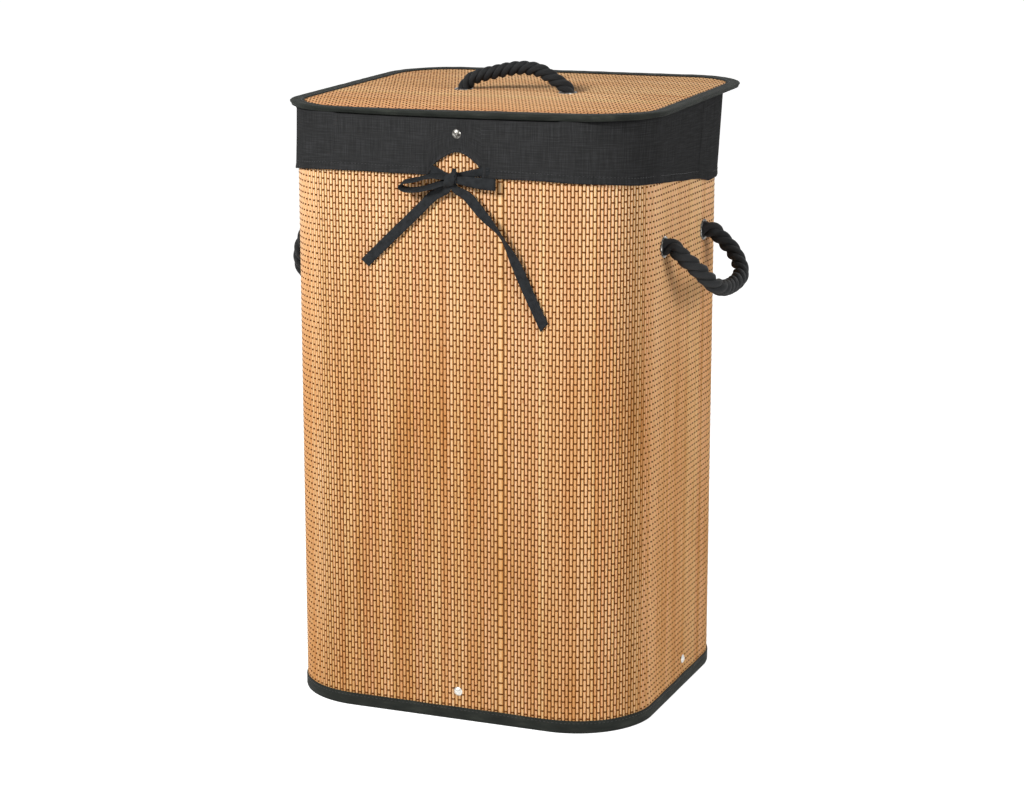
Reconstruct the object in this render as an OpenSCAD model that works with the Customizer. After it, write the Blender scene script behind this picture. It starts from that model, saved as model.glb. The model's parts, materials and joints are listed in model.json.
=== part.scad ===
// Folding laundry hamper. A woven bamboo mat stands on edge as a rounded rectangular wall, held in
// shape by two wire hoops. A cloth liner hangs inside, with its cuff turned down over the rim and
// drawn in by a ribbon that is tied in a bow at the front. A woven lid turns on two cloth tabs at
// the back. Rope handles hang from metal eyelets in the side walls, and a third stands on the lid.
// X runs along the front, Y towards the back and Z up, in millimetres. The origin is on the floor,
// at the centre of the wall.

/* [Body] */
// Width of the bamboo wall along X, outside
body_w = 371; // [350:1:400]
// Depth of the bamboo wall along Y, outside
body_d = 330; // [310:1:360]
// Height of the rim, over the folded cuff
body_h = 597.5; // [580:0.5:640]
// Radius of the upright corners, outside
corner_r = 80; // [70:1:90]
// Thickness of the woven mat
mat_t = 2.6; // [2.4:0.1:2.8]
// Height of the tape that binds the wall's lower edge
tape_h = 13; // [10:1:18]
// Height of the base rivets above the floor
base_rivet_z = 29; // [28:1:36]
// How far each base rivet stands beside the middle of its wall: front, right, back and left
base_shift = [11, 15, 11, 11]; // [0:1:20]
// The same for the rivets at the rim
rim_shift = [13, 8, 13, 13]; // [0:1:20]

/* [Liner] */
// How far the cuff hangs down outside
cuff_drop = 56; // [55:1:80]
// Height of the hem that holds the ribbon
hem_h = 12; // [11:1:16]
// Width of the arched notch in the hem
notch_w = 48; // [40:1:60]
// Where the notch is, to the right of the middle
notch_x = 17; // [0:1:30]

/* [Lid] */
// Width of the lid along X
lid_w = 391; // [386:1:404]
// Depth of the lid along Y
lid_d = 349; // [346:1:360]
// Radius of the lid's corners
lid_r = 68.5; // [50:0.5:75]
// Thickness of the lid over its binding
lid_t = 5; // [4.8:0.1:5.6]
// Width of the binding on the lid's faces
lid_tape_w = 14; // [10:1:20]
// How much higher the lid's back edge rests than its front edge
lid_rise = 10.8; // [8:0.1:12]
// How far the lid stands out to the right of the wall's middle
lid_shift = 6.6; // [0:0.1:8]
// Distance from the middle to each cloth tab
tab_x = 95; // [60:1:100]

/* [Handles] */
// Diameter of the side ropes
rope_d = 16.5; // [14:0.5:17]
// Distance between the two eyelets in a side wall
eyelet_span = 125; // [118:1:126]
// Height of the side eyelets
eyelet_z = 469; // [450:1:475]
// Diameter of the lid's rope
lid_rope_d = 14; // [12:0.5:14]
// Distance between the eyelets in the lid
lid_eyelet_span = 112.5; // [110:0.5:116]
// Where the lid's handle is, from the middle of the lid
lid_grip = [-2.5, -4.6]; // [-10:0.1:10]
// How much further the left handle hangs down than the right one, in degrees
left_sag = 26; // [0:1:30]

/* [Hidden] */
$fn = 96;

// Offsets from the wall's outer face, outwards positive
gap = 0.15;                      // between layers of tape, cloth and mat
wall_in = -mat_t;                // inner face of the mat
tape_t = 0.8;                    // binding tape
cuff_in = 1.3;                   // inner face of the cuff
cuff_out = 2.4;                  // outer face of the cuff
hem_out = 3.5;                   // outer face of the hem
hem_t = 0.6;                     // each face of the hem
bag_out = -7.6;                  // outer face of the liner bag at the rim
cloth_t = 1;                     // liner cloth
// Heights
hem_z = body_h - cuff_drop;      // lower edge of the cuff
rim_rivet_z = body_h - 16;
base_hoop_z = base_rivet_z + 8;
rim_hoop_z = rim_rivet_z - 8;
// Wire, clips and rivets
wire_r = 1.75;
wire_off = wall_in - gap - wire_r;    // centre of the wire
clip_t = 0.8;
clip_w = 12;
clip_r = wire_r + 0.1 + clip_t;       // outside of the clip's curl
clip_off = wall_in - 0.1;             // face of the clip that lies on the mat
shank_r = 1.6;
head_r = 4.5;
head_h = 1.8;
board_z = base_hoop_z + clip_r + gap; // the base board rests on the hoop
board_t = 4;
// The liner bag narrows under the rim to clear the knots of the handles
bag_wide_z = 560;
bag_slim_z = 500;
bag_in_x = 25;
bag_in_y = 17;
// Handles
eyelet_lip = 1.1;                     // how far an eyelet stands out
eyelet_wall = 0.7;
knot_gap = 0.4;
side_pivot = eyelet_lip + 0.1 + knot_gap + rope_d / 2;    // centre of the rope's bend, off the wall
lid_mat_z = 1.2;                      // underside of the mat in the lid's frame
lid_top = lid_mat_z + mat_t;          // upper face of the mat in the lid's frame
lid_pivot = lid_top + eyelet_lip + 0.1 + knot_gap + lid_rope_d / 2;
// Lid
lid_front = -body_d / 2 - 1;          // front edge of the lid
lid_gap = 0.3;                        // between the cuff and the lid's front edge
lid_tilt = asin(lid_rise / lid_d);
hinge_y = body_d / 2 + 6;             // axis of the lid
hinge_z = body_h + lid_gap + (hinge_y - lid_front) * tan(lid_tilt);
tab_w = 60;
tab_t = 0.9;
tab_drop = 36;
tab_reach = 20;
// Ribbon
ribbon_w = 9;
ribbon_t = 0.9;
seam_x = -45;                         // where the mat's two ends meet, at the back

// Routes. Side handles: out from the wall, along it, and up from the eyelets.
side_route = [
    [side_pivot, -62.5, 0], [17, -64, -6.5], [34, -58.8, -21.5], [46.7, -40.5, -39], [47.8, 0, -44.8],
    [46.7, 40.5, -39], [34, 58.8, -21.5], [17, 64, -6.5], [side_pivot, 62.5, 0]
];
// Lid handle, in the lid's frame
lid_route = [
    [-50, 0, lid_pivot], [-45, 0, lid_top + 11.7], [-34.5, 0, lid_top + 15.3], [-22.5, 0, lid_top + 18.2],
    [-10.5, 0, lid_top + 21], [4, 0, lid_top + 23.3], [13.5, 0, lid_top + 23.4],
    [25.5, 0, lid_top + 21.8], [35, 0, lid_top + 17.6], [44.5, 0, lid_top + 11.9], [50, 0, lid_pivot]
];
// Bow, from the knot's own centre
knot_at = [10, -body_d / 2 - 9.5, hem_z - 1.5];
left_loop_route = [
    [-6, 0, 1], [-20, 0, 1.5], [-36, 0, -2.5], [-47, 0, -5.5], [-52, 0, -9],
    [-47, 0, -12.5], [-37, 0, -13], [-20, 0, -9], [-6, 0, -4]
];
right_loop_route = [
    [6, 2, -1], [25, 4, -0.5], [40, 4, -0.5], [44.5, 2.5, -1.5], [45.5, 0.5, -2.5],
    [43.5, -1.5, -3], [25, -3, -5], [6, -2, -3]
];
left_tail_route = [
    [-5, 1.5, -10.5], [-12, 5.8, -14], [-22, 7.8, -20], [-39.5, 8.2, -36], [-66.5, 8.2, -61.5], [-94, 8.2, -87]
];
right_tail_route = [
    [5, 1.5, -10.5], [14.5, 5.8, -17], [30, 7, -34], [48, 5.4, -52], [62, 6.5, -76], [76, 8, -106], [92, 8.2, -138]
];
left_lead_route = [[-15, 7.2, 6], [-9, 5.6, 5], [-2.5, 5.2, 3]];
right_lead_route = [[29, 7.2, 6], [16, 5.6, 5], [2.5, 5.2, 3]];

// ---------- Curves and sweeps ----------
function unit(v) = v / norm(v);
function between(a, b, c, d, t) =
    0.5 * (2 * b + (c - a) * t + (2 * a - 5 * b + 4 * c - d) * t * t + (3 * b - a - 3 * c + d) * t * t * t);
// A smooth curve through the points of a route, with n steps between each two
function curve(p, n) = let(last = len(p) - 1) [
    for (i = [0 : last - 1], k = [0 : n - 1])
        between(p[max(i - 1, 0)], p[i], p[i + 1], p[min(i + 2, last)], k / n),
    p[last]
];
function tangent(p, i) = unit(p[min(i + 1, len(p) - 1)] - p[max(i - 1, 0)]);
// Rings of a swept section: each ring is [centre, size]
function plain_rings(p) = [for (c = p) [c, 1]];
// The same with a half ball of radius r on each end
function ball_rings(p, r) = let(a = tangent(p, 0), b = tangent(p, len(p) - 1), turns = [80, 60, 40, 20]) [
    for (t = turns) [p[0] - a * r * sin(t), cos(t)],
    for (c = p) [c, 1],
    for (k = [3 : -1 : 0]) [p[len(p) - 1] + b * r * sin(turns[k]), cos(turns[k])]
];
function round_section(r, n) = [for (k = [0 : n - 1]) [r * cos(360 * k / n), r * sin(360 * k / n)]];
// A flat ribbon with bevelled edges: its width lies along the sweep's side
function flat_section(w, t) = [
    [w / 2, t / 4], [w / 2 - t / 2, t / 2], [t / 2 - w / 2, t / 2], [-w / 2, t / 4],
    [-w / 2, -t / 4], [t / 2 - w / 2, -t / 2], [w / 2 - t / 2, -t / 2], [w / 2, -t / 4]
];
// Sweeps a section along rings. side is the direction that the section's first axis keeps to.
module sweep(rings, section, side) {
    line = [for (r = rings) r[0]];
    count = len(section);
    last = len(rings) - 1;
    points = [
        for (i = [0 : last])
            let(along = tangent(line, i), up = unit(cross(along, side)), across = cross(up, along))
                for (s = section) line[i] + rings[i][1] * (s[0] * across + s[1] * up)
    ];
    walls = [
        for (i = [0 : last - 1], k = [0 : count - 1])
            let(a = i * count + k, b = i * count + (k + 1) % count)
                each [[a, a + count, b], [b, a + count, b + count]]
    ];
    caps = [[for (k = [0 : count - 1]) k], [for (k = [count - 1 : -1 : 0]) last * count + k]];
    polyhedron(points = points, faces = concat(walls, caps));
}
module ribbon(route, side, n = 4) {
    sweep(plain_rings(curve(route, n)), flat_section(ribbon_w, ribbon_t), side);
}

// ---------- Outlines and rings ----------
module rounded_rect(w, d, r) {
    square([w - 2 * r, d], center = true);
    square([w, d - 2 * r], center = true);
    for (sx = [-1, 1], sy = [-1, 1]) {
        translate([sx * (w / 2 - r), sy * (d / 2 - r)]) circle(r);
    }
}
module wall_outline(off) {
    rounded_rect(body_w + 2 * off, body_d + 2 * off, corner_r + off);
}
module lid_outline(off) {
    rounded_rect(lid_w + 2 * off, lid_d + 2 * off, lid_r + off);
}
// A ring of cloth, tape or mat that follows the wall, between two heights and two offsets
module wall_band(low, high, outer, inner) {
    translate([0, 0, low]) linear_extrude(high - low) difference() {
        wall_outline(outer);
        wall_outline(inner);
    }
}
module lid_band(low, high, outer, inner) {
    translate([0, 0, low]) linear_extrude(high - low) difference() {
        lid_outline(outer);
        lid_outline(inner);
    }
}
// A closed loop of round wire along a rounded rectangle
module wire_loop(w, d, r, thick) {
    for (s = [-1, 1]) {
        translate([0, s * d / 2, 0]) rotate([0, 90, 0]) cylinder(r = thick, h = w - 2 * r, center = true);
        translate([s * w / 2, 0, 0]) rotate([90, 0, 0]) cylinder(r = thick, h = d - 2 * r, center = true);
    }
    for (q = [0 : 3]) {
        x = q == 0 || q == 3 ? 1 : -1;
        y = q < 2 ? 1 : -1;
        translate([x * (w / 2 - r), y * (d / 2 - r), 0]) rotate([0, 0, 90 * q])
            rotate_extrude(angle = 90) translate([r, 0]) circle(thick);
    }
}

// ---------- Places ----------
// The rivet's place on each wall: X along the wall, Y up and Z outwards
module on_walls(z, shift) {
    for (s = [0 : 3]) {
        rotate([0, 0, 90 * s]) translate([shift[s], -(s % 2 == 0 ? body_d : body_w) / 2, z])
            rotate([90, 0, 0]) children();
    }
}
// The eyelets of one side wall, Z outwards
module on_side(s) {
    for (y = [-1, 1]) {
        translate([s * body_w / 2, y * eyelet_span / 2, eyelet_z]) rotate([0, s * 90, 0]) children();
    }
}
module on_both_sides() {
    for (s = [-1, 1]) on_side(s) children();
}
// The lid's own frame: Z up from its underside, with the origin at its centre
module in_lid() {
    translate([lid_shift, lid_front, body_h + lid_gap]) rotate([lid_tilt, 0, 0]) translate([0, lid_d / 2, 0]) children();
}
module on_lid_eyelets() {
    translate([lid_grip[0], lid_grip[1], lid_top])
        for (x = [-1, 1]) translate([x * lid_eyelet_span / 2, 0, 0]) children();
}

// ---------- Small hardware ----------
// A tubular rivet: its domed head lies on the offset out, and its clenched end on the offset inn
module rivet(out, inn) {
    dome_r = (head_r * head_r + head_h * head_h) / (2 * head_h);
    translate([0, 0, inn - 0.9]) cylinder(r = shank_r, h = out - inn + 1.2);
    translate([0, 0, inn - 0.9]) cylinder(r = 3, h = 0.9);
    intersection() {
        translate([0, 0, out + head_h - dome_r]) sphere(dome_r);
        translate([0, 0, out]) cylinder(r = head_r, h = head_h);
    }
}
// A steel strip curled round the hoop and riveted to the mat. up is the side the hoop is on.
module hoop_clip(up) {
    curl_y = up * 8;
    curl_z = wire_off;
    difference() {
        union() {
            translate([-clip_w / 2, up > 0 ? -5 : up * 6.1, clip_off - clip_t]) cube([clip_w, 11.1, clip_t]);
            translate([-clip_w / 2, curl_y, curl_z]) rotate([0, 90, 0]) cylinder(r = clip_r, h = clip_w);
        }
        translate([-clip_w, curl_y, curl_z]) rotate([0, 90, 0]) cylinder(r = clip_r - clip_t, h = 2 * clip_w);
        translate([-clip_w, -20, clip_off]) cube([2 * clip_w, 40, 5]);
        translate([0, 0, -10]) cylinder(r = shank_r + 0.1, h = 20);
    }
}
// An eyelet: its lip lies on the mat's outer face, and its barrel is rolled over the washer
module eyelet(bore_r) {
    barrel_r = bore_r + eyelet_wall;
    rotate_extrude() {
        translate([bore_r, -mat_t - 1.1]) square([eyelet_wall, mat_t + 1.3]);
        intersection() {
            translate([bore_r + eyelet_lip, 0.1]) circle(eyelet_lip);
            translate([bore_r, 0.05]) square([3, 3]);
        }
        intersection() {
            translate([bore_r + 0.8, -mat_t - 0.95]) circle(0.8);
            translate([bore_r, -mat_t - 1.8]) square([3, 0.87]);
        }
    }
}
module eyelet_washer(bore_r) {
    translate([0, 0, -mat_t - 0.9]) difference() {
        cylinder(r = bore_r + 2.6, h = tape_t);
        translate([0, 0, -1]) cylinder(r = bore_r + eyelet_wall + 0.15, h = 3);
    }
}
// A rope's end: it comes in through the eyelet and is tied in a stopper knot
module stopper_knot(rope_r) {
    start = -mat_t - 1.9;
    minor = 0.92 * rope_r;
    translate([0, 0, start - 2 * minor - 2.5]) cylinder(r = rope_r, h = eyelet_lip - start + 2 * minor + 2.5);
    translate([0, 0, start - minor]) rotate_extrude() translate([1.12 * rope_r, 0]) circle(minor);
}

// ---------- Wall and base ----------
module bamboo_wall() {
    color("BurlyWood") difference() {
        wall_band(tape_t + 0.4, body_h - 2.6, 0, wall_in);
        on_walls(base_rivet_z, base_shift) cylinder(r = shank_r + 0.2, h = 20, center = true);
        on_walls(rim_rivet_z, rim_shift) cylinder(r = shank_r + 0.2, h = 20, center = true);
        on_both_sides() cylinder(r = rope_d / 2 + 0.25 + eyelet_wall + 0.25, h = 20, center = true);
        translate([seam_x - 0.5, 0, -1]) cube([1, body_d, body_h + 2]);
    }
}
module seam_strip(off, low, high) {
    translate([seam_x - 9, body_d / 2 + off, low]) cube([18, tape_t, high - low]);
}
// The strip inside runs between the two hoops
module wall_seam_tape() {
    color("DimGray") {
        seam_strip(gap, tape_h + 0.5, body_h - 15);
        seam_strip(wall_in - gap - tape_t, base_hoop_z + 3, rim_hoop_z - 3);
    }
}
module edge_tape(low, high, plate_low) {
    wall_band(low, high, gap + tape_t, gap);
    wall_band(low, high, wall_in - gap, wall_in - gap - tape_t);
    wall_band(plate_low, plate_low + tape_t, gap + tape_t, wall_in - gap - tape_t);
}
module bottom_binding() {
    color("DarkSlateGray") edge_tape(0, tape_h, 0);
}
module top_binding() {
    color("DarkSlateGray") edge_tape(body_h - 10, body_h - 1.4, body_h - 2.2);
}
module base_board() {
    color("Peru") translate([0, 0, board_z]) linear_extrude(board_t) wall_outline(wall_in - 1.1);
}
module hoop_at(z) {
    color("Silver") translate([0, 0, z])
        wire_loop(body_w + 2 * wire_off, body_d + 2 * wire_off, corner_r + wire_off, wire_r);
}
module lower_wire_hoop() {
    hoop_at(base_hoop_z);
}
module upper_wire_hoop() {
    hoop_at(rim_hoop_z);
}
module lower_hoop_clips() {
    color("Gray") on_walls(base_rivet_z, base_shift) hoop_clip(1);
}
module upper_hoop_clips() {
    color("Gray") on_walls(rim_rivet_z, rim_shift) hoop_clip(-1);
}
module base_rivets() {
    color("Gainsboro") on_walls(base_rivet_z, base_shift) rivet(0, clip_off - clip_t);
}
module rim_rivets() {
    color("Gainsboro") on_walls(rim_rivet_z, rim_shift) rivet(cuff_out, clip_off - clip_t);
}

// ---------- Liner ----------
module bag_slab(z, in_x, in_y, inset) {
    translate([0, 0, z]) linear_extrude(0.2)
        rounded_rect(body_w - 2 * (in_x + inset), body_d - 2 * (in_y + inset), corner_r - in_y - inset, $fn = 40);
}
// The bag as a solid: inset 0 is its outside, and inset cloth_t its inside
module bag_form(inset, low, high) {
    translate([0, 0, low]) linear_extrude(bag_slim_z - low + 0.1)
        rounded_rect(body_w - 2 * (bag_in_x + inset), body_d - 2 * (bag_in_y + inset), corner_r - bag_in_y - inset, $fn = 40);
    hull() {
        bag_slab(bag_slim_z, bag_in_x, bag_in_y, inset);
        bag_slab(bag_wide_z, -bag_out, -bag_out, inset);
    }
    translate([0, 0, bag_wide_z]) linear_extrude(high - bag_wide_z) wall_outline(bag_out - inset);
}
module liner_bag() {
    low = board_z + board_t + 0.4;
    color("#2b2c2e") difference() {
        bag_form(0, low, body_h - cloth_t);
        bag_form(cloth_t, low + cloth_t, body_h);
    }
}
module notch() {
    translate([notch_x, -body_d / 2, hem_z - 1]) rotate([90, 0, 0]) cylinder(d = notch_w + 2, h = 40, center = true);
}
module liner_cuff() {
    color("#333437") difference() {
        union() {
            wall_band(hem_z + hem_h - hem_t, body_h, cuff_out, cuff_in);
            wall_band(body_h - cloth_t, body_h, cuff_out, bag_out - cloth_t);
            wall_band(hem_z, hem_z + hem_h, hem_out, cuff_in);
        }
        wall_band(hem_z + hem_t, hem_z + hem_h - hem_t, hem_out - hem_t, cuff_in + hem_t);
        notch();
        on_walls(rim_rivet_z, rim_shift) cylinder(r = shank_r + 0.2, h = 20, center = true);
    }
}
module drawstring() {
    mid = (hem_out + cuff_in) / 2;
    color("#26282b") {
        difference() {
            wall_band(hem_z + 1.5, hem_z + 1.5 + ribbon_w, mid + ribbon_t / 2 - 0.1, mid - ribbon_t / 2 + 0.1);
            notch();
        }
        translate(knot_at) {
            ribbon(left_lead_route, [0, 0, 1]);
            ribbon(right_lead_route, [0, 0, 1]);
        }
    }
}
module bow_knot() {
    color("#202225") translate(knot_at) hull() for (z = [-1, 1]) {
        translate([0, 0, 3 * z - 1]) sphere(r = 5, $fn = 28);
    }
}
module bow_left_loop() {
    color("#26282b") translate(knot_at) ribbon(left_loop_route, [0, 1, 0]);
}
module bow_right_loop() {
    color("#26282b") translate(knot_at) ribbon(right_loop_route, [0, 0, 1]);
}
module bow_left_tail() {
    color("#26282b") translate(knot_at) ribbon(left_tail_route, [1, 0, -1]);
}
module bow_right_tail() {
    color("#26282b") translate(knot_at) ribbon(right_tail_route, [1, 0, 1]);
}

// ---------- Side handles ----------
module side_eyelets() {
    color("Silver") on_both_sides() eyelet(rope_d / 2 + 0.25);
}
module side_eyelet_washers() {
    color("Silver") on_both_sides() eyelet_washer(rope_d / 2 + 0.25);
}
module left_handle_knots() {
    color("#1a1b1d") on_side(-1) stopper_knot(rope_d / 2);
}
module right_handle_knots() {
    color("#1a1b1d") on_side(1) stopper_knot(rope_d / 2);
}
// The loop outside the eyelets, turned down by sag about its pivot
module handle_loop(sag) {
    translate([side_pivot, 0, 0]) rotate([0, sag, 0]) translate([-side_pivot, 0, 0])
        sweep(ball_rings(curve(side_route, 4), rope_d / 2), round_section(rope_d / 2, 12), [1, 0, 1]);
}
module right_handle_rope() {
    color("#151618") translate([body_w / 2, 0, eyelet_z]) handle_loop(0);
}
module left_handle_rope() {
    color("#151618") translate([-body_w / 2, 0, eyelet_z]) rotate([0, 0, 180]) handle_loop(left_sag);
}

// ---------- Lid ----------
module lid_mat() {
    color("BurlyWood") in_lid() difference() {
        translate([0, 0, lid_mat_z]) linear_extrude(mat_t) lid_outline(-4.6);
        on_lid_eyelets() cylinder(r = lid_rope_d / 2 + 0.25 + eyelet_wall + 0.25, h = 20, center = true);
    }
}
module lid_binding() {
    color("DarkSlateGray") in_lid() {
        lid_band(0, lid_t, 0, -0.9);
        lid_band(0, 0.9, 0, -lid_tape_w);
        lid_band(lid_t - 0.9, lid_t, 0, -lid_tape_w);
    }
}
module lid_edge_wire() {
    color("Gray") in_lid() translate([0, 0, lid_t / 2])
        wire_loop(lid_w - 5.4, lid_d - 5.4, lid_r - 2.7, 1.4);
}
module lid_eyelets() {
    color("Silver") in_lid() on_lid_eyelets() eyelet(lid_rope_d / 2 + 0.25);
}
module lid_eyelet_washers() {
    color("Silver") in_lid() on_lid_eyelets() eyelet_washer(lid_rope_d / 2 + 0.25);
}
module lid_handle_knots() {
    color("#1a1b1d") in_lid() on_lid_eyelets() stopper_knot(lid_rope_d / 2);
}
module lid_handle_rope() {
    color("#151618") in_lid() translate([lid_grip[0], lid_grip[1], 0])
        sweep(ball_rings(curve(lid_route, 4), lid_rope_d / 2), round_section(lid_rope_d / 2, 12), [0, 1, 0]);
}
// Cloth tabs: sewn to the cuff's back, over the hinge axis and forwards under the lid
module lid_hinge_tabs() {
    face = body_d / 2 + cuff_out + 0.1;
    rise = tan(lid_tilt);
    profile = [
        [face, body_h - tab_drop], [face + tab_t, body_h - tab_drop], [face + tab_t, body_h],
        [hinge_y - 0.2, hinge_z - 0.6],
        [hinge_y - 1, hinge_z - 0.1 - rise], [hinge_y - tab_reach, hinge_z - 0.1 - tab_reach * rise],
        [hinge_y - tab_reach, hinge_z - 0.1 - tab_t - tab_reach * rise],
        [hinge_y - 1.6, hinge_z - 0.1 - tab_t - 1.6 * rise], [face, body_h + 0.5]
    ];
    color("DarkSlateGray") for (x = [-1, 1]) {
        translate([x * tab_x - tab_w / 2, 0, 0]) rotate([90, 0, 90]) linear_extrude(tab_w) polygon(profile);
    }
}

bamboo_wall();
wall_seam_tape();
bottom_binding();
top_binding();
base_board();
lower_wire_hoop();
upper_wire_hoop();
lower_hoop_clips();
upper_hoop_clips();
base_rivets();
rim_rivets();
liner_bag();
liner_cuff();
drawstring();
bow_knot();
bow_left_loop();
bow_right_loop();
bow_left_tail();
bow_right_tail();
side_eyelets();
side_eyelet_washers();
left_handle_knots();
right_handle_knots();
left_handle_rope();
right_handle_rope();
lid_mat();
lid_binding();
lid_edge_wire();
lid_eyelets();
lid_eyelet_washers();
lid_handle_knots();
lid_handle_rope();
lid_hinge_tabs();
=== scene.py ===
# %% [markdown]
# # A laundry hamper of woven bamboo, with a cloth liner and rope handles
#
# The hamper is a mat of narrow bamboo slats that stands on edge as a rounded wall. Its charcoal
# liner folds down over the rim, a black ribbon is tied in a bow at the front, three black ropes
# are its handles, and a lid of the same mat lies on top. The frame that holds the sizes and the
# joints is loaded first. Everything here is dressed onto that frame and never changes its size.

# %% Load the frame
import json
import random
from math import asin, copysign, cos, dist, exp, hypot, pi, radians, sin, sqrt, tan, tau

import bmesh
import bpy
import numpy as np
from mathutils import Matrix, Vector, noise


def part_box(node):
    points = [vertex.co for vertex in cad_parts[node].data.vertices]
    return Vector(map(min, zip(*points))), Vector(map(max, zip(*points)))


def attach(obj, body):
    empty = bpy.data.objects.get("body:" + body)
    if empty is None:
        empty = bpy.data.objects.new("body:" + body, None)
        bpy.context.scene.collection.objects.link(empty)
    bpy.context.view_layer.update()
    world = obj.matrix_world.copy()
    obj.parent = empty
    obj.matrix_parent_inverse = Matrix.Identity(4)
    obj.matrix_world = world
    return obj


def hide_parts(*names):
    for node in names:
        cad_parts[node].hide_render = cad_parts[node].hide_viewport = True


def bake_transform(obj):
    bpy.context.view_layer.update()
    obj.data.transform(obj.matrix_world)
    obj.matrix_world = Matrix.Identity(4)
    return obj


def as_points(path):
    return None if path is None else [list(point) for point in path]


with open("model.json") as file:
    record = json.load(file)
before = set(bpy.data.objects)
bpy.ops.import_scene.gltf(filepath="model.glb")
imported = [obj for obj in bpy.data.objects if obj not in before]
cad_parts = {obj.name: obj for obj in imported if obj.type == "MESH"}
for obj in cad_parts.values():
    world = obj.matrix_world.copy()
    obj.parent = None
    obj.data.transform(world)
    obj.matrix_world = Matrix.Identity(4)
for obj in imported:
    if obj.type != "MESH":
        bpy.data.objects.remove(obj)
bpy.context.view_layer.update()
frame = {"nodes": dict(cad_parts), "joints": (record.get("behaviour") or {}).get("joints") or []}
scene = bpy.context.scene

# %% [markdown]
# ## The sizes that everything follows
#
# The pieces are modelled in millimetres, like a maker's drawing, and turned into metres when each
# one is finished. The sizes come from the frame's own parts where it has them: the mat's box gives
# the wall's width and depth, and the cuff's box gives the rim.

# %% Sizes in millimetres
MM = 0.001


def size_of(node):
    """The lowest and highest corner of a part of the frame, in millimetres."""
    low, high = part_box(node)
    return Vector(low) / MM, Vector(high) / MM


wall_low, wall_high = size_of("bamboo_wall")
MAT_LOW, MAT_HIGH = wall_low.z, wall_high.z
WALL_W = wall_high.x - wall_low.x
WALL_D = wall_high.y - wall_low.y
CORNER_R = 80
RIM_Z = size_of("liner_cuff")[1].z
HEM_Z = size_of("liner_cuff")[0].z
FRONT = -WALL_D / 2
LID_W, LID_D, LID_R, LID_T = 391, 349, 68.5, 5
LID_TILT = asin(10.8 / LID_D)
LID_SHIFT = 6.6

# The lid's own frame: Z up from its underside, with the origin at its centre.
LID = (
    Matrix.Translation((LID_SHIFT, FRONT - 1, RIM_Z + 0.3))
    @ Matrix.Rotation(LID_TILT, 4, "X")
    @ Matrix.Translation((0, LID_D / 2, 0))
)
print(f"wall {WALL_W:.0f} x {WALL_D:.0f} mm, rim at {RIM_Z:.0f} mm, hem at {HEM_Z:.0f} mm")

# %% [markdown]
# ## The camera
#
# A long lens from a little above and to the right keeps the hamper's sides nearly parallel. The
# camera looks at a point near the middle of the front, and is placed by an azimuth, an elevation
# and a distance, which are easier to think about than three coordinates.


# %% Camera
def new_object(name, data):
    """A new object in the scene."""
    made = bpy.data.objects.new(name, data)
    scene.collection.objects.link(made)
    return made


def aim(thing, place, direction):
    """Puts a camera or a lamp somewhere, looking along a direction."""
    thing.location = place
    thing.rotation_mode = "QUATERNION"
    thing.rotation_quaternion = direction.to_track_quat("-Z", "Y")


azimuth, elevation, distance = radians(21.97), radians(12.28), 2.51505
target = Vector((0.002, 0, 0.2979))
level = cos(elevation)
backwards = Vector((sin(azimuth) * level, -cos(azimuth) * level, sin(elevation)))
camera = new_object("camera", bpy.data.cameras.new("camera"))
camera.data.sensor_width = 36
camera.data.lens = 85.91
aim(camera, target + backwards * distance, -backwards)
scene.camera = camera
print("camera at", [round(c, 3) for c in camera.location])

# %% [markdown]
# ## Materials: colour and nodes
#
# Colours are written as the hex values that a colour picker shows. Blender's nodes work in linear
# light, so one function converts them. Another adds a node of any kind, sets its options and
# connects its inputs, so that each material below reads from top to bottom like a recipe. The
# last step is the same in all of them: the colour and the fine relief go to the main shader.


# %% Colour and node helpers
def hex_colour(text):
    """An sRGB hex colour as linear red, green, blue and alpha."""
    values = [int(text[i : i + 2], 16) / 255 for i in (1, 3, 5)]
    return [v / 12.92 if v <= 0.04045 else ((v + 0.055) / 1.055) ** 2.4 for v in values] + [1.0]


def output(value):
    """What a link starts from. Of a node it is the factor, or else the first output in use."""
    if isinstance(value, bpy.types.Node):
        return value.outputs.get("Fac") or next(o for o in value.outputs if o.enabled)
    return value


def add(tree, kind, inputs=None, stops=(), **options):
    """Adds a node with its settings and links. An input is a number, a hex colour, a node or one
    of its outputs. stops are the positions and hex colours of a colour ramp."""
    made = tree.nodes.new("ShaderNode" + kind)
    for name, value in options.items():
        setattr(made, name, value)
    for name, value in (inputs or {}).items():
        if isinstance(output(value), bpy.types.NodeSocket):
            tree.links.new(output(value), made.inputs[name])
        else:
            made.inputs[name].default_value = hex_colour(value) if isinstance(value, str) else value
    for i, (position, text) in enumerate(stops):
        elements = made.color_ramp.elements
        element = elements[i] if i < 2 else elements.new(position)
        element.position = position
        element.color = hex_colour(text)
    return made


def new_material(name, coords="Object", **values):
    """An empty material, its tree with a Principled shader, and a texture coordinate.
    values are numbers for the shader: rough, specular or metallic."""
    made = bpy.data.materials.new(name)
    made.use_nodes = True
    tree = made.node_tree
    tree.nodes.clear()
    shader = add(tree, "BsdfPrincipled")
    sockets = {"rough": "Roughness", "specular": "Specular IOR Level", "metallic": "Metallic"}
    for label, value in values.items():
        shader.inputs[sockets[label]].default_value = value
    add(tree, "OutputMaterial", {"Surface": shader.outputs[0]})
    return made, tree, add(tree, "TexCoord").outputs[coords] if coords else None


def paint(tree, colour, height=None, depth=0.0, strength=0.0, rough=None):
    """Joins the colour, the fine relief and the changing roughness to the material's shader."""
    shader = tree.nodes["Principled BSDF"]
    tree.links.new(output(colour), shader.inputs["Base Color"])
    if rough:
        tree.links.new(output(rough), shader.inputs["Roughness"])
    if height:
        bump = add(tree, "Bump", {"Height": height, "Distance": depth, "Strength": strength})
        tree.links.new(bump.outputs[0], shader.inputs["Normal"])


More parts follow.
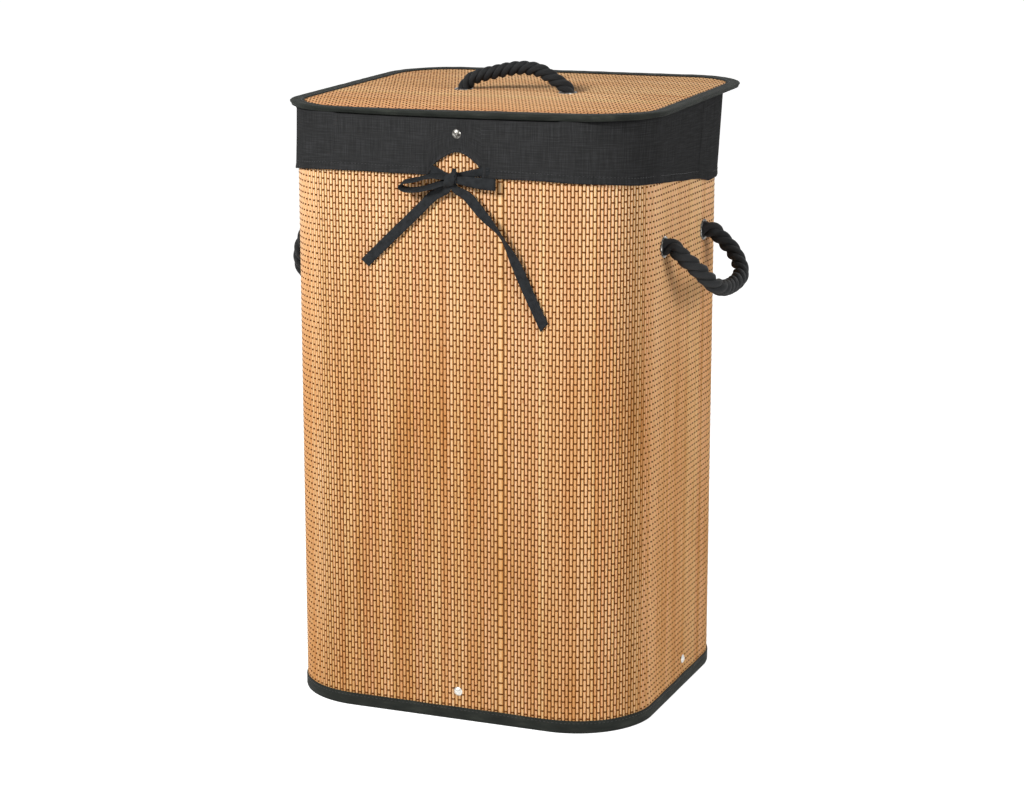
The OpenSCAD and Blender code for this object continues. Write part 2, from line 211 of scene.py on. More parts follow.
# %% [markdown]
# ## Shapes: one mesh at a time
#
# Most of this hamper is cloth, rope and tape that follow a line. Each such surface starts as a
# flat grid, and every point of the grid is then moved to its place by a small function of two
# numbers: how far along the line it is, and how far across. The grid brings its faces with it, so
# only the places need thought.


# %% Mesh helpers
def surface(bm, alongs, acrosses, place, uv, closed=True):
    """A grid whose points are moved to place(along, across). uv(along, across) gives its UV map.
    Edges of a closed one that meet are joined."""
    nu, nv = len(alongs), len(acrosses)
    layer = bm.loops.layers.uv.verify()
    made = bmesh.ops.create_grid(bm, x_segments=nu - 1, y_segments=nv - 1, size=0.5)["verts"]
    spots = {}
    for v in made:
        i, j = round((v.co.x + 0.5) * (nu - 1)), round((v.co.y + 0.5) * (nv - 1))
        spots[v] = (alongs[i], acrosses[j])
    for f in {f for v in made for f in v.link_faces}:
        for loop in f.loops:
            loop[layer].uv = uv(*spots[loop.vert])
    for v, (a, b) in spots.items():
        v.co = place(a, b)
    if closed:
        bmesh.ops.remove_doubles(bm, verts=made, dist=0.001)


def steps(low, high, count):
    """Evenly spaced numbers, both ends included."""
    return [low + (high - low) * i / count for i in range(count + 1)]


def up_by(z):
    return Vector((0, 0, z))


def finish_piece(name, bm, body, materials, replaces=(), smooth=True, recalc=True):
    """Turns millimetres into metres, and a bmesh into an object that rides on a body.
    A piece given no body is left unattached."""
    if recalc:
        bmesh.ops.recalc_face_normals(bm, faces=bm.faces)
    bmesh.ops.scale(bm, vec=(MM, MM, MM), verts=bm.verts)
    mesh = bpy.data.meshes.new(name)
    bm.to_mesh(mesh)
    bm.free()
    mesh.polygons.foreach_set("use_smooth", [smooth] * len(mesh.polygons))
    piece = new_object(name, mesh)
    for m in materials if isinstance(materials, list) else [materials]:
        mesh.materials.append(m)
    if body:
        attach(piece, body)
    if replaces:
        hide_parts(*replaces)
    print(f"{name}: {len(mesh.polygons)} faces")
    return piece


def rounded(w, d, r):
    """A walk round a rounded rectangle, anticlockwise from the middle of the front.
    Returns its length, and a function from a distance to (point, outward direction)."""
    corner = pi * r / 2
    sides = [  # the length of each straight, where it starts, and its heading
        (w / 2 - r, (0, -d / 2), 0),
        (d - 2 * r, (w / 2, -d / 2 + r), 90),
        (w - 2 * r, (w / 2 - r, d / 2), 180),
        (d - 2 * r, (-w / 2, d / 2 - r), 270),
        (w / 2 - r, (-w / 2 + r, -d / 2), 360),
    ]
    length = sum(side[0] for side in sides) + 4 * corner

    def at(s):
        s = s % length
        for straight, (x, y), heading in sides:
            start, a = Vector((x, y, 0)), radians(heading)
            forward = Vector((cos(a), sin(a), 0))
            outward = Vector((sin(a), -cos(a), 0))
            if s <= straight or heading == 360:
                return start + forward * s, outward
            s -= straight
            if s <= corner:
                turned = Matrix.Rotation(s / r, 3, "Z") @ outward
                return start + forward * straight - outward * r + turned * r, turned
            s -= corner

    return length, at


WALL_LENGTH, wall_at = rounded(WALL_W, WALL_D, CORNER_R)
LID_LENGTH, lid_at = rounded(LID_W, LID_D, LID_R)


def by_wall(s, off, z):
    """The point at a distance round the wall, off it by some millimetres, at a height."""
    point, outward = wall_at(s)
    return point + outward * off + up_by(z)


def forward_of(outward):
    return Vector((-outward.y, outward.x, 0))


print(f"round the wall {WALL_LENGTH:.0f} mm, round the lid {LID_LENGTH:.0f} mm")

# %% [markdown]
# ## Routes of the ropes and ribbons
#
# Ropes and ribbons are made first, because their length is fixed and their place has to fit the
# frame. Each follows a smooth curve through a few points. The side ropes hang from their eyelets,
# turned down a little by their weight, and the left one hangs lower than the right.


# %% Smooth routes
def smooth_route(points, steps_between):
    """A Catmull-Rom curve through the points."""
    points = [Vector(p) for p in points]
    last = len(points) - 1
    route = []
    for i in range(last):
        a, b, c, d = points[max(i - 1, 0)], points[i], points[i + 1], points[min(i + 2, last)]
        for k in range(steps_between):
            t = k / steps_between
            squared, cubed = (2 * a - 5 * b + 4 * c - d) * t * t, (3 * b - a - 3 * c + d) * t**3
            route.append(0.5 * (2 * b + (c - a) * t + squared + cubed))
    return route + [points[last]]


def even_route(points, gap):
    """The same line as points a fixed distance apart."""
    lengths = [0]
    for p, q in zip(points, points[1:]):
        lengths.append(lengths[-1] + (q - p).length)
    spread = steps(0, lengths[-1], max(2, round(lengths[-1] / gap)))
    return [Vector([float(np.interp(s, lengths, [p[k] for p in points])) for k in range(3)]) for s in spread]


def route_length(points):
    return sum((q - p).length for p, q in zip(points, points[1:]))


def along_at(line, i):
    """The direction of a line at one of its points."""
    return (line[min(i + 1, len(line) - 1)] - line[max(i - 1, 0)]).normalized()


ROPE_D, LID_ROPE_D = 16.5, 14.4
EYELET_Z, EYELET_Y = 469, 62.5
LID_TOP = 1.2 + 2.6  # the mat's upper face over the lid's underside
GRIP_X, GRIP_Y, GRIP_HALF = -2.5, -4.6, 56.25  # the lid's handle: its middle, and half its span
GRIP = LID @ Matrix.Translation((GRIP_X, GRIP_Y, LID_TOP))
SIDE_PIVOT = 1.6 + ROPE_D / 2  # out from the wall to the line about which a side rope swings
near_half = [(SIDE_PIVOT, -EYELET_Y, 0), (17, -64, -6.5), (34, -58.8, -21.5), (46.7, -40.5, -39)]
side_points = near_half + [(47.8, 0, -44.8)] + [(x, -y, z) for x, y, z in reversed(near_half)]
# The lid's rope: how far along, and how high over the mat. It leans to the right, as it was left.
lid_points = [(-56.3, -4), (-55, 1), (-51.7, 6.4), (-45, 11.7), (-34.5, 15.3), (-22.5, 18.2), (-10.5, 21)]
lid_points += [(4, 23.3), (13.5, 23.4), (25.5, 21.8), (35, 17.6), (44.5, 11.9), (53.3, 6.3)]
lid_points += [(57, 1.5), (57, -4)]


def side_route(side, sag):
    """The side rope's centre line in the hamper's frame. side is 1 on the right, -1 on the left."""
    pivot = Vector((SIDE_PIVOT, 0, 0))
    turn = Matrix.Rotation(radians(sag), 3, "Y")
    loop = [pivot + turn @ (Vector(p) - pivot) for p in side_points]
    loop = smooth_route([(-1.5, -EYELET_Y, 0)] + loop + [(-1.5, EYELET_Y, 0)], 8)
    return [Vector((side * (WALL_W / 2 + p.x), side * p.y, EYELET_Z + p.z)) for p in loop]


def beside(side, out):
    """A point level with the side eyelets, out from the wall."""
    return Vector((side * (WALL_W / 2 + out), 0, EYELET_Z))


# Each rope: its line, thickness, millimetres per turn, bodies, the points where it bends, and a seed.
lid_line = [GRIP @ p for p in smooth_route([(x, 0, z) for x, z in lid_points], 6)]
lid_bend = (GRIP @ up_by(1), GRIP @ up_by(13))
right_bend, left_bend = ((beside(side, 1), beside(side, 17)) for side in (1, -1))
ropes = {
    "right_rope": (side_route(1, 0), ROPE_D, 37, ("hamper", "right_handle"), right_bend, 1),
    "left_rope": (side_route(-1, 26), ROPE_D, 37, ("hamper", "left_handle"), left_bend, 5),
    "lid_rope": (lid_line, LID_ROPE_D, 29, ("lid", "lid_handle"), lid_bend, 9),
}
for name, (line, *_) in ropes.items():
    print(f"{name}: {route_length(line):.0f} mm of it is seen")

# %% [markdown]
# ### Rope: three strands laid together
#
# A thick cotton rope is three strands twisted round each other. Each strand is a closed tube whose
# centre winds round the rope's own line, one turn every 37 mm (29 mm in the thinner one), and the
# three tubes press into each other, which gives the deep slanting grooves. The strand's UV map runs
# along and round it, so that the fine yarns of each strand can follow it.

# %% Cotton rope material
# Dyed cotton, spun and twisted: very dark, matt, with a soft sheen where fibres stand up.
rope_black, tree, where = new_material("black_cotton_rope", "UV", rough=0.65, specular=0.28)
# Yarns 1.1 mm apart that slant across the strand.
slanted = add(tree, "Mapping", {"Vector": where, "Rotation": (0, 0, radians(38))})
yarns = {"Vector": slanted, "Scale": 290, "Distortion": 1.6, "Detail": 2, "Detail Scale": 2}
yarns = add(tree, "TexWave", yarns, bands_direction="Y")
# The yarns' own black, with painted shade darkening the hollows between the yarns.
tone = add(tree, "ValToRGB", {0: yarns}, [(0.1, "#0A0B0C"), (0.9, "#28292A")])
patches = add(tree, "TexNoise", {"Vector": where, "Scale": 160, "Detail": 2})
tone = add(tree, "Mix", {0: patches, 6: tone, 7: "#212223"}, data_type="RGBA")
fibres = add(tree, "TexNoise", {"Vector": where, "Scale": 1800, "Detail": 3})
paint(tree, tone, add(tree, "Math", {0: yarns, 1: fibres}, operation="ADD"), 0.0004, 0.9)

# %% [markdown]
# The rope's cross-section is carried along the line without turning about it, so the only twist is
# the one that the strands are given.


# %% Twisted rope
def carried_frames(line):
    """For each point: the direction along the line and two directions across it, untwisted."""
    frames = []
    side = (line[1] - line[0]).normalized().orthogonal().normalized()
    for i in range(len(line)):
        along = along_at(line, i)
        side = (side - along * side.dot(along)).normalized()
        frames.append((side, along.cross(side)))
    return frames


def close_ends(bm):
    bmesh.ops.holes_fill(bm, edges=[e for e in bm.edges if e.is_boundary], sides=0)


def rope(name, line, diameter, lay, bodies, bend, seed):
    """A left-handed three-strand rope along a line, in place of the frame's rope of the second body.
    bend is not used."""
    line = even_route(line, 1.3)
    frames = carried_frames(line)
    gap = route_length(line) / (len(line) - 1)
    strand = diameter / 4
    bm = bmesh.new()
    for k in range(3):

        def place(i, angle, k=k):
            side, up = frames[i]
            turn = radians(120 * k) - 2 * pi * i * gap / lay
            out = side * cos(turn) + up * sin(turn)
            over = up * cos(turn) - side * sin(turn)
            a = radians(angle)
            swell = 1 + 0.035 * noise.noise(Vector((i * gap / 9, k * 7 + seed + cos(a), sin(a))))
            centre = line[i] + out * strand
            return centre + out * (strand * swell * cos(a)) + over * (strand * 1.12 * swell * sin(a))

        round_it = lambda i, angle: (i * gap * MM, angle / 360 * 2 * pi * strand * MM)
        surface(bm, range(len(line)), steps(0, 360, 16), place, round_it)
    close_ends(bm)
    piece = finish_piece(name, bm, None, rope_black, replaces=(f"{bodies[1]}_rope",))
    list(bodies)
    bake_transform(piece)
    route_length(line) * MM
    "hanging" if "lid" not in name else "loose"
    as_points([p * MM for p in line[::3]] + [line[-1] * MM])


for name, settings in ropes.items():
    rope(name, *settings)

# %% [markdown]
# ### Ribbon: a bow of flat tape
#
# The ribbon is a narrow black twill tape. Its section is a thin flat oval, carried along each route
# with a chosen side direction, and turned about the route where the real ribbon twists. The tails
# end in a slanting cut.

# %% Ribbon material
# Woven cotton tape: dark blue-black, matt, with fine slanting ribs 0.7 mm apart.
ribbon_black, tree, where = new_material("black_twill_ribbon", "UV", rough=0.75, specular=0.1)
slanted = add(tree, "Mapping", {"Vector": where, "Rotation": (0, 0, radians(45))})
twill = add(tree, "TexWave", {"Vector": slanted, "Scale": 450, "Distortion": 0.8, "Detail": 1})
tone = add(tree, "ValToRGB", {0: twill}, [(0.0, "#1D1F21"), (1.0, "#323436")])
wear = add(tree, "TexNoise", {"Vector": where, "Scale": 220, "Detail": 3})
tone = add(tree, "Mix", {0: wear, 6: tone, 7: "#27292B"}, data_type="RGBA")
# Soft dents and creases some 6 mm apart, with painted shade in their hollows.
dents = add(tree, "TexNoise", {"Vector": where, "Scale": 170, "Detail": 2})
hollow_shade = add(tree, "MapRange", {"Value": dents, "From Min": 0.55, "From Max": 0.3, "To Max": 0.6})
tone = add(tree, "Mix", {0: hollow_shade, 6: tone, 7: "#151617"}, data_type="RGBA")
cross = add(tree, "TexWave", {"Vector": where, "Scale": 620, "Distortion": 0.8})
height = add(tree, "Math", {0: twill, 1: cross}, operation="ADD")
height = add(tree, "Math", {0: dents, 1: 6, 2: height}, operation="MULTIPLY_ADD")
paint(tree, tone, height, 0.00015, 0.8)

# %% Ribbon helper
KNOT = Vector((10, FRONT - 9.5, HEM_Z - 1.5))
RIBBON_W, RIBBON_T = 10.5, 0.9
EDGE = [(0.46, 0.5), (0.24, 0.5), (0, 0.5), (-0.24, 0.5), (-0.46, 0.5)]
SECTION = [(0.5, 0.0)] + EDGE + [(-0.5, 0.0)] + [(-x, -z) for x, z in EDGE] + [(0.5, 0.0)]


def ribbon_faces(bm, line, side, width, turn=None, cut=0.0, thick=RIBBON_T, cup=0.0):
    """A flat ribbon along a line. width and turn are functions of the distance, from 0 to 1.
    cut slants its far end, and cup bends it into a shallow channel."""
    line = even_route(line, 1.2)
    last = len(line) - 1
    total = route_length(line)
    side = Vector(side)

    def place(i, j):
        t = i / last
        along = along_at(line, i)
        up = along.cross(side).normalized()
        across = up.cross(along)
        if turn:
            twist = Matrix.Rotation(radians(turn(t)), 3, along)
            up, across = twist @ up, twist @ across
        x, z = SECTION[j]
        w = RIBBON_W * width(t)
        wave = 0.25 * noise.noise(line[i] / 9 + Vector((x * 2, 0, 3)))
        slant = along * (cut * w * x * max(0, (t - 0.9) / 0.1))
        return line[i] + across * (x * w) + up * (z * thick + cup * (x * x * 4 - 0.5) + wave) + slant

    uv = lambda i, j: (i / last * total * MM, SECTION[j][0] * RIBBON_W * MM)
    surface(bm, range(last + 1), range(len(SECTION)), place, uv)
    return line


def knot_route(points):
    return smooth_route([KNOT + Vector(p) for p in points], 6)


def bow_part(which, points, side, **shape):
    """One loop or tail of the bow. Its points are counted from the knot."""
    bm = bmesh.new()
    line = ribbon_faces(bm, knot_route(points), side, **shape)
    close_ends(bm)
    piece = finish_piece(f"ribbon_{which}", bm, "hamper", ribbon_black, replaces=(f"bow_{which}",))
    route_length(line) * MM
    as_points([p * MM for p in line[::2]] + [line[-1] * MM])


def bell(t, middle, width):
    """1 at the middle, falling smoothly to 0 on both sides of it."""
    return exp(-(((t - middle) / width) ** 2))


def swelling(t, power):
    """0 at both ends of a loop and 1 half-way."""
    return sin(pi * min(max(t, 0), 1)) ** power


points = [(-3, 0, 0.5), (-6, 0, 1), (-20, 0, 1.4), (-36, 0, -2.8), (-47.5, 0, -5), (-52, 0, -8.6)]
points += [(-48, 0, -12.2), (-37, 0, -12.4), (-20, 0, -8.5), (-6, 0, -3.5), (-3, 0, -2.5)]
bow_part(
    "left_loop",
    points,
    (0, 1, 0.36),
    width=lambda t: 0.6 + 0.42 * swelling(t, 0.5),
    turn=lambda t: 26 * bell(t, 1, 0.25) - 8 * bell(t, 0, 0.2),
)
points = [(3, 1.5, -1), (8, 2.4, -1.6), (25, 4, -3.8), (39, 4, -4.3), (44, 2.5, -4), (45, 0.5, -3.7)]
points += [(43, -1.5, -3.6), (25, -3, -2.2), (13, -2.6, -1.2), (3, -1.5, -0.8)]
bow_part("right_loop", points, (0, 0, 1), width=lambda t: 0.42 + 0.68 * swelling(t, 0.6), cup=0.4)
points = [(-1.5, 0.5, -4), (-5, 1.5, -10.5), (-12, 4.2, -13.2), (-21.6, 5.2, -19), (-38.7, 5.6, -35.5)]
points += [(-66.2, 6.4, -61), (-93.8, 7.6, -87)]
bow_part("left_tail", points, (1, 0, -1), width=lambda t: 0.62 + 0.36 * min(1, t / 0.12), cut=-0.12, cup=0.35)
points = [(1.5, 0.5, -4), (5, 1.5, -10.5), (16, 2.6, -16.6), (32.3, 2, -33.4), (49.8, 1.6, -51.5)]
points += [(63.4, 3.6, -75.6), (76.6, 6.6, -105.8), (92.1, 8, -138)]
bow_part(
    "right_tail",
    points,
    (1, 0, 1),
    width=lambda t: 0.62 + 0.4 * min(1, t / 0.15) - 0.12 * bell(t, 0.45, 0.1),
    turn=lambda t: 50 * bell(t, 0.43, 0.13),
    cut=-0.4,
    cup=0.35,
)

# %% [markdown]
# The knot is the same ribbon wrapped once round the crossing, pulled tight so that it puckers. One
# turn of ribbon round a small oval makes the wrap, and a short folded corner stands up behind it.

# %% Knot
bm = bmesh.new()
wrap = []
for a in steps(0, 400, 30):
    r = radians(a)
    x = 4.6 * sin(r) * 0.55 + a / 200 - 1
    wrap.append(KNOT + Vector((x, -4.4 * cos(r) + 0.2, 6.2 * sin(r) - 1)))
ribbon_faces(bm, wrap, (1, 0, 0.28), width=lambda t: 0.95, cup=0.5, thick=1.2)
core = bmesh.ops.create_icosphere(bm, subdivisions=3, radius=1)["verts"]
bmesh.ops.scale(bm, vec=(5.2, 3.9, 5.2), verts=core)
for v in core:
    v.co += v.co.normalized() * 0.5 * noise.noise(v.co / 2.4)
bmesh.ops.translate(bm, vec=KNOT + Vector((-0.8, 0.4, -1.6)), verts=core)
fold = [KNOT + Vector(p) for p in ((3.6, -2.6, -3.5), (4, -3.2, 1.5), (4.2, -1.4, 6), (4, 0.8, 9.6))]
ribbon_faces(bm, fold, (1, 0, 0.1), width=lambda t: 0.72 - 0.42 * t**2, cup=-1.2, thick=1.2)
close_ends(bm)
finish_piece("ribbon_knot", bm, "hamper", ribbon_black, replaces=("bow_knot",))

# %% [markdown]
# Between the notch's corners and the knot the ribbon shows again, where it leaves the hem. Inside
# the hem it can't be seen, so the cuff's piece stands for it there.

# %% Ribbon out of the hem
bm = bmesh.new()
for points, near_hem, at_knot in (
    (((-28, 7.8, 7.5), (-19, 7.4, 5.6), (-12.5, 6.4, 3.4), (-6, 5, 1.6), (-2, 4.4, 0.6)), 0.98, 0.5),
    (((37, 7.6, 7.2), (28, 7.4, 6.3), (20, 6.6, 5.1), (12.5, 5.6, 3.7), (2.5, 4.6, 2)), 0.88, 0.5),
):
    narrowing = lambda t, a=near_hem, b=at_knot: a + (b - a) * t
    ribbon_faces(bm, knot_route(points), (0, 0, 1), width=narrowing, cup=0.3)
close_ends(bm)
finish_piece("ribbon_leads", bm, "hamper", ribbon_black)

# %% [markdown]
# ## Bamboo: the woven mat
#
# The mat is some 360 upright slats, split from bamboo and planed to a rounded face, 3.5 mm from one
# to the next. Brown threads run round the hamper 5.75 mm apart. Each passes over one slat and
# behind the next, so a slat shows every second thread, and its neighbours show the others. The
# slats and the threads over them are real geometry, because their shadows make the mat look woven.

# %% Bamboo material
SLAT_PITCH, ROW = 3.52, 5.75


def bamboo_slats(name, tones, split, painted_top_light=0.0):
    """Split, steamed and lacquered bamboo: straw to light brown from slat to slat, with fine fibres
    along the slat and a satin face. The faces are rounded, and brown and rough where they were
    split. Painted shade darkens the rounded flanks, and in the gaps between the slats the brown of the
    split sides is darkened into painted shade. The UV map counts slats across and metres along them."""
    made, tree, where = new_material(name, "UV", specular=0.12)
    where = add(tree, "SeparateXYZ", {"Vector": where})
    across, along = where.outputs["X"], where.outputs["Y"]
    number = add(tree, "Math", {0: across}, operation="FLOOR")
    own = add(tree, "TexWhiteNoise", {"W": number}, noise_dimensions="1D")
    # Slow changes along one slat, over 120 mm or so, and groups of slats from the same cane.
    apart = add(tree, "Math", {0: number, 1: 3.7}, operation="MULTIPLY")
    slow = add(tree, "CombineXYZ", {"X": apart, "Y": along})
    drift = add(tree, "TexNoise", {"Vector": slow, "Scale": 8, "Detail": 2})
    both = add(tree, "CombineXYZ", {"X": across, "Y": along})
    group = add(tree, "TexNoise", {"Vector": both, "Scale": 0.16, "Detail": 3})
    # Broad cloudy patches, some 30 slats wide and 250 mm tall.
    broad = {"Vector": both, "Scale": (0.035, 4, 1), "Location": (0.3, 0.2, 0)}
    cloud = add(tree, "TexNoise", {"Vector": add(tree, "Mapping", broad), "Scale": 1, "Detail": 2})
    tone = add(tree, "Math", {0: own.outputs["Value"], 1: 0.22, 2: -0.14}, operation="MULTIPLY_ADD")
    for part, much in ((drift, 0.34), (group, 0.38), (cloud, 0.54)):
        tone = add(tree, "Math", {0: part, 1: much, 2: tone}, operation="MULTIPLY_ADD")
    face = add(tree, "ValToRGB", {0: tone}, tones)
    # Painted light from above: upright slats are lighter towards their top end, from 300 mm up.
    top = add(tree, "MapRange", {"Value": along, "From Min": 0.3, "From Max": 0.56, "To Max": painted_top_light})
    face = add(tree, "Mix", {0: top, 6: face, 7: "#F6E4CE"}, data_type="RGBA")
    # Some slats are pinker and some are yellower.
    hue = add(tree, "Mix", {0: own.outputs["Color"], 6: "#FFE8DE", 7: "#FFFCE6"}, data_type="RGBA")
    face = add(tree, "Mix", {0: 1.0, 6: face, 7: hue}, data_type="RGBA", blend_type="MULTIPLY")
    # Fibres 0.25 mm wide and some 12 mm long.
    fine = add(tree, "Math", {0: across, 1: 14}, operation="MULTIPLY")
    long = add(tree, "Math", {0: along, 1: 80}, operation="MULTIPLY")
    fine = add(tree, "CombineXYZ", {"X": fine, "Y": long, "Z": number})
    fibre = add(tree, "TexNoise", {"Vector": fine, "Scale": 1, "Detail": 3})
    streak = add(tree, "MapRange", {"Value": fibre, "From Min": 0.45, "From Max": 0.75, "To Max": 0.4})
    face = add(tree, "Mix", {0: streak, 6: face, 7: "#B9834C"}, data_type="RGBA")
    # A few reddish nodes and specks.
    long = add(tree, "Math", {0: along, 1: 130}, operation="MULTIPLY")
    spot = add(tree, "CombineXYZ", {"X": across, "Y": long})
    speck = add(tree, "TexNoise", {"Vector": spot, "Scale": 0.9, "Detail": 1})
    speck = add(tree, "MapRange", {"Value": speck, "From Min": 0.66, "From Max": 0.78, "To Max": 0.6})
    face = add(tree, "Mix", {0: speck, 6: face, 7: "#9C5A2E"}, data_type="RGBA")
    # Painted shade: darker and warmer down the rounded flanks, and dark in the gaps between the slats, over
    # the brown of the split sides.
    off = add(tree, "Math", {0: across}, operation="FRACT")
    off = add(tree, "Math", {0: off, 1: 0.5}, operation="SUBTRACT")
    off = add(tree, "Math", {0: off}, operation="ABSOLUTE")
    flank_shade = {"Value": off, "From Min": 0.14, "From Max": 0.34}
    flank_shade = add(tree, "MapRange", flank_shade, interpolation_type="SMOOTHSTEP")
    gap = {"Value": off, "From Min": 0.33, "From Max": 0.48}
    gap = add(tree, "MapRange", gap, interpolation_type="SMOOTHSTEP")
    face = add(tree, "Mix", {0: flank_shade, 6: face, 7: "#FFEBC0"}, data_type="RGBA", blend_type="MULTIPLY")
    face = add(tree, "Mix", {0: gap, 6: face, 7: split}, data_type="RGBA")
    rough = add(tree, "MapRange", {"Value": fibre, "To Min": 0.42, "To Max": 0.62})
    paint(tree, face, fibre, 0.0002, 0.5, rough)
    return made


wall_tones = [(0.18, "#F0DCC0"), (0.5, "#E4C39B"), (0.72, "#D4A978"), (0.95, "#BC864C")]
lid_tones = [(0.18, "#EDD5B8"), (0.5, "#DABC96"), (0.72, "#C69C75"), (0.95, "#A8794C")]
bamboo = bamboo_slats("split_bamboo_slats", wall_tones, "#8C5615", painted_top_light=0.45)
lid_bamboo = bamboo_slats("split_bamboo_slats_of_the_lid", lid_tones, "#4A2809")


# %% Thread material
def weaving_thread(name, dark, light):
    """Twisted polyester thread, brown, hardly shiny, in fibre bundles some 1 mm across."""
    made, tree, where = new_material(name, rough=0.75, specular=0.1)
    bundles = add(tree, "TexNoise", {"Vector": where, "Scale": 900, "Detail": 1})
    paint(tree, add(tree, "ValToRGB", {0: bundles}, [(0.3, dark), (0.7, light)]))
    return made


thread_brown = weaving_thread("brown_weaving_thread", "#552E0D", "#764417")
lid_thread = weaving_thread("dark_brown_weaving_thread_of_the_lid", "#371B05", "#57300F")

# %% [markdown]
# A column is one slat with the threads that cross it. Two columns are made, one for odd and one for
# even slats, and copied round the wall with a slightly different width, lean and depth each time.
# A slat is an extruded outline with a rounded face. A thread over it is a thin curved strip.

# %% Slat and thread
SLAT_FACE = [(-1.28, -1.75), (-1.28, -1.15), (-1.1, -0.6), (-0.6, -0.15), (0, 0)]
SLAT_FACE = SLAT_FACE + [(-x, y) for x, y in reversed(SLAT_FACE[:-1])]
THREAD_ARC = [(-1.36, -1.08), (-1.08, -0.44), (-0.44, 0.03), (0.44, 0.03), (1.08, -0.44), (1.36, -1.08)]
THREAD_HALF, THREAD_RISE = 0.8, 0.22


def only(kind, geom):
    """The vertices, edges or faces among what a mesh operator made."""
    return [g for g in geom if isinstance(g, kind)]


def thread_dash(bm, z):
    """A thread over one slat: three rows of points, the middle one raised. X is across, Y out."""
    row = [bm.verts.new((x, -y - 0.02, z - THREAD_HALF)) for x, y in THREAD_ARC]
    edges = [bm.edges.new(pair) for pair in zip(row, row[1:])]
    for out in (THREAD_RISE, -THREAD_RISE):
        made = bmesh.ops.extrude_edge_only(bm, edges=edges)["geom"]
        bmesh.ops.translate(bm, vec=(0, -out, THREAD_HALF), verts=only(bmesh.types.BMVert, made))
        edges = only(bmesh.types.BMEdge, made)
        for f in only(bmesh.types.BMFace, made):
            f.material_index = 1


def column(height, first_row):
    """One slat, standing on z = 0, with a thread every second row."""
    bm = bmesh.new()
    outline = [bm.verts.new((x, -y, 0)) for x, y in SLAT_FACE]
    top = bmesh.ops.extrude_face_region(bm, geom=[bm.faces.new(outline)])["geom"]
    bmesh.ops.translate(bm, vec=(0, 0, height), verts=only(bmesh.types.BMVert, top))
    bmesh.ops.recalc_face_normals(bm, faces=bm.faces)
    z = first_row
    while z < height - 1:
        thread_dash(bm, z)
        z += 2 * ROW
    bm.normal_update()
    layer = bm.loops.layers.uv.verify()
    for f in bm.faces:
        if f.material_index == 1 and f.normal.y > 0:
            f.normal_flip()
        for loop in f.loops:
            x, y, z = loop.vert.co
            u = x / SLAT_PITCH if y < 1.2 else copysign(0.49, x)  # the split sides and the back
            loop[layer].uv = (0.5 + u, z * MM)
    mesh = bpy.data.meshes.new("column")
    bm.to_mesh(mesh)
    bm.free()
    return mesh


def cut_column(mesh, keep, holes, creases):
    """Shortens a column to the stretch in keep, and takes the stretches in holes out of it.
    It gets an extra ring of edges at each height in creases, so that it can bend there."""
    bm = bmesh.new()
    bm.from_mesh(mesh)

    def cut(z, up=1, **options):
        geom = bm.verts[:] + bm.edges[:] + bm.faces[:]
        bmesh.ops.bisect_plane(bm, geom=geom, plane_co=(0, 0, z), plane_no=(0, 0, up), **options)

    cut(keep[0], -1, clear_outer=True)
    cut(keep[1], clear_outer=True)
    for z in creases:
        cut(z)
    for low, high in holes:
        cut(low)
        cut(high)
        gone = [f for f in bm.faces if low < f.calc_center_median().z < high]
        bmesh.ops.delete(bm, geom=gone, context="FACES")
    bm.to_mesh(mesh)
    bm.free()


def lay_column(bm, template, number, place, keep=None, holes=(), creases=()):
    """Adds a copy of a column to the mat, and gives it its own number in the UV map."""
    copy = template.copy()
    if keep:
        cut_column(copy, keep, holes, creases)
    uv = np.empty(2 * len(copy.loops), np.float32)
    copy.uv_layers[0].data.foreach_get("uv", uv)
    uv[0::2] += number
    copy.uv_layers[0].data.foreach_set("uv", uv)
    copy.transform(place)
    bm.from_mesh(copy)
    bpy.data.meshes.remove(copy)


def finish_mat(name, bm, body, materials, node):
    """Keeps the slats' split edges crisp while their faces stay smooth."""
    piece = finish_piece(name, bm, body, materials, replaces=(node,), recalc=False)
    piece.data.set_sharp_from_angle(angle=radians(50))


# %% [markdown]
# The slats are counted round the wall from the middle of the front. The wall is made in four
# pieces, one per side, so that none is too heavy. Where an eyelet goes through the mat, its slats
# are cut short above and below, as a punch would do it. One slat at the front is a wide one.

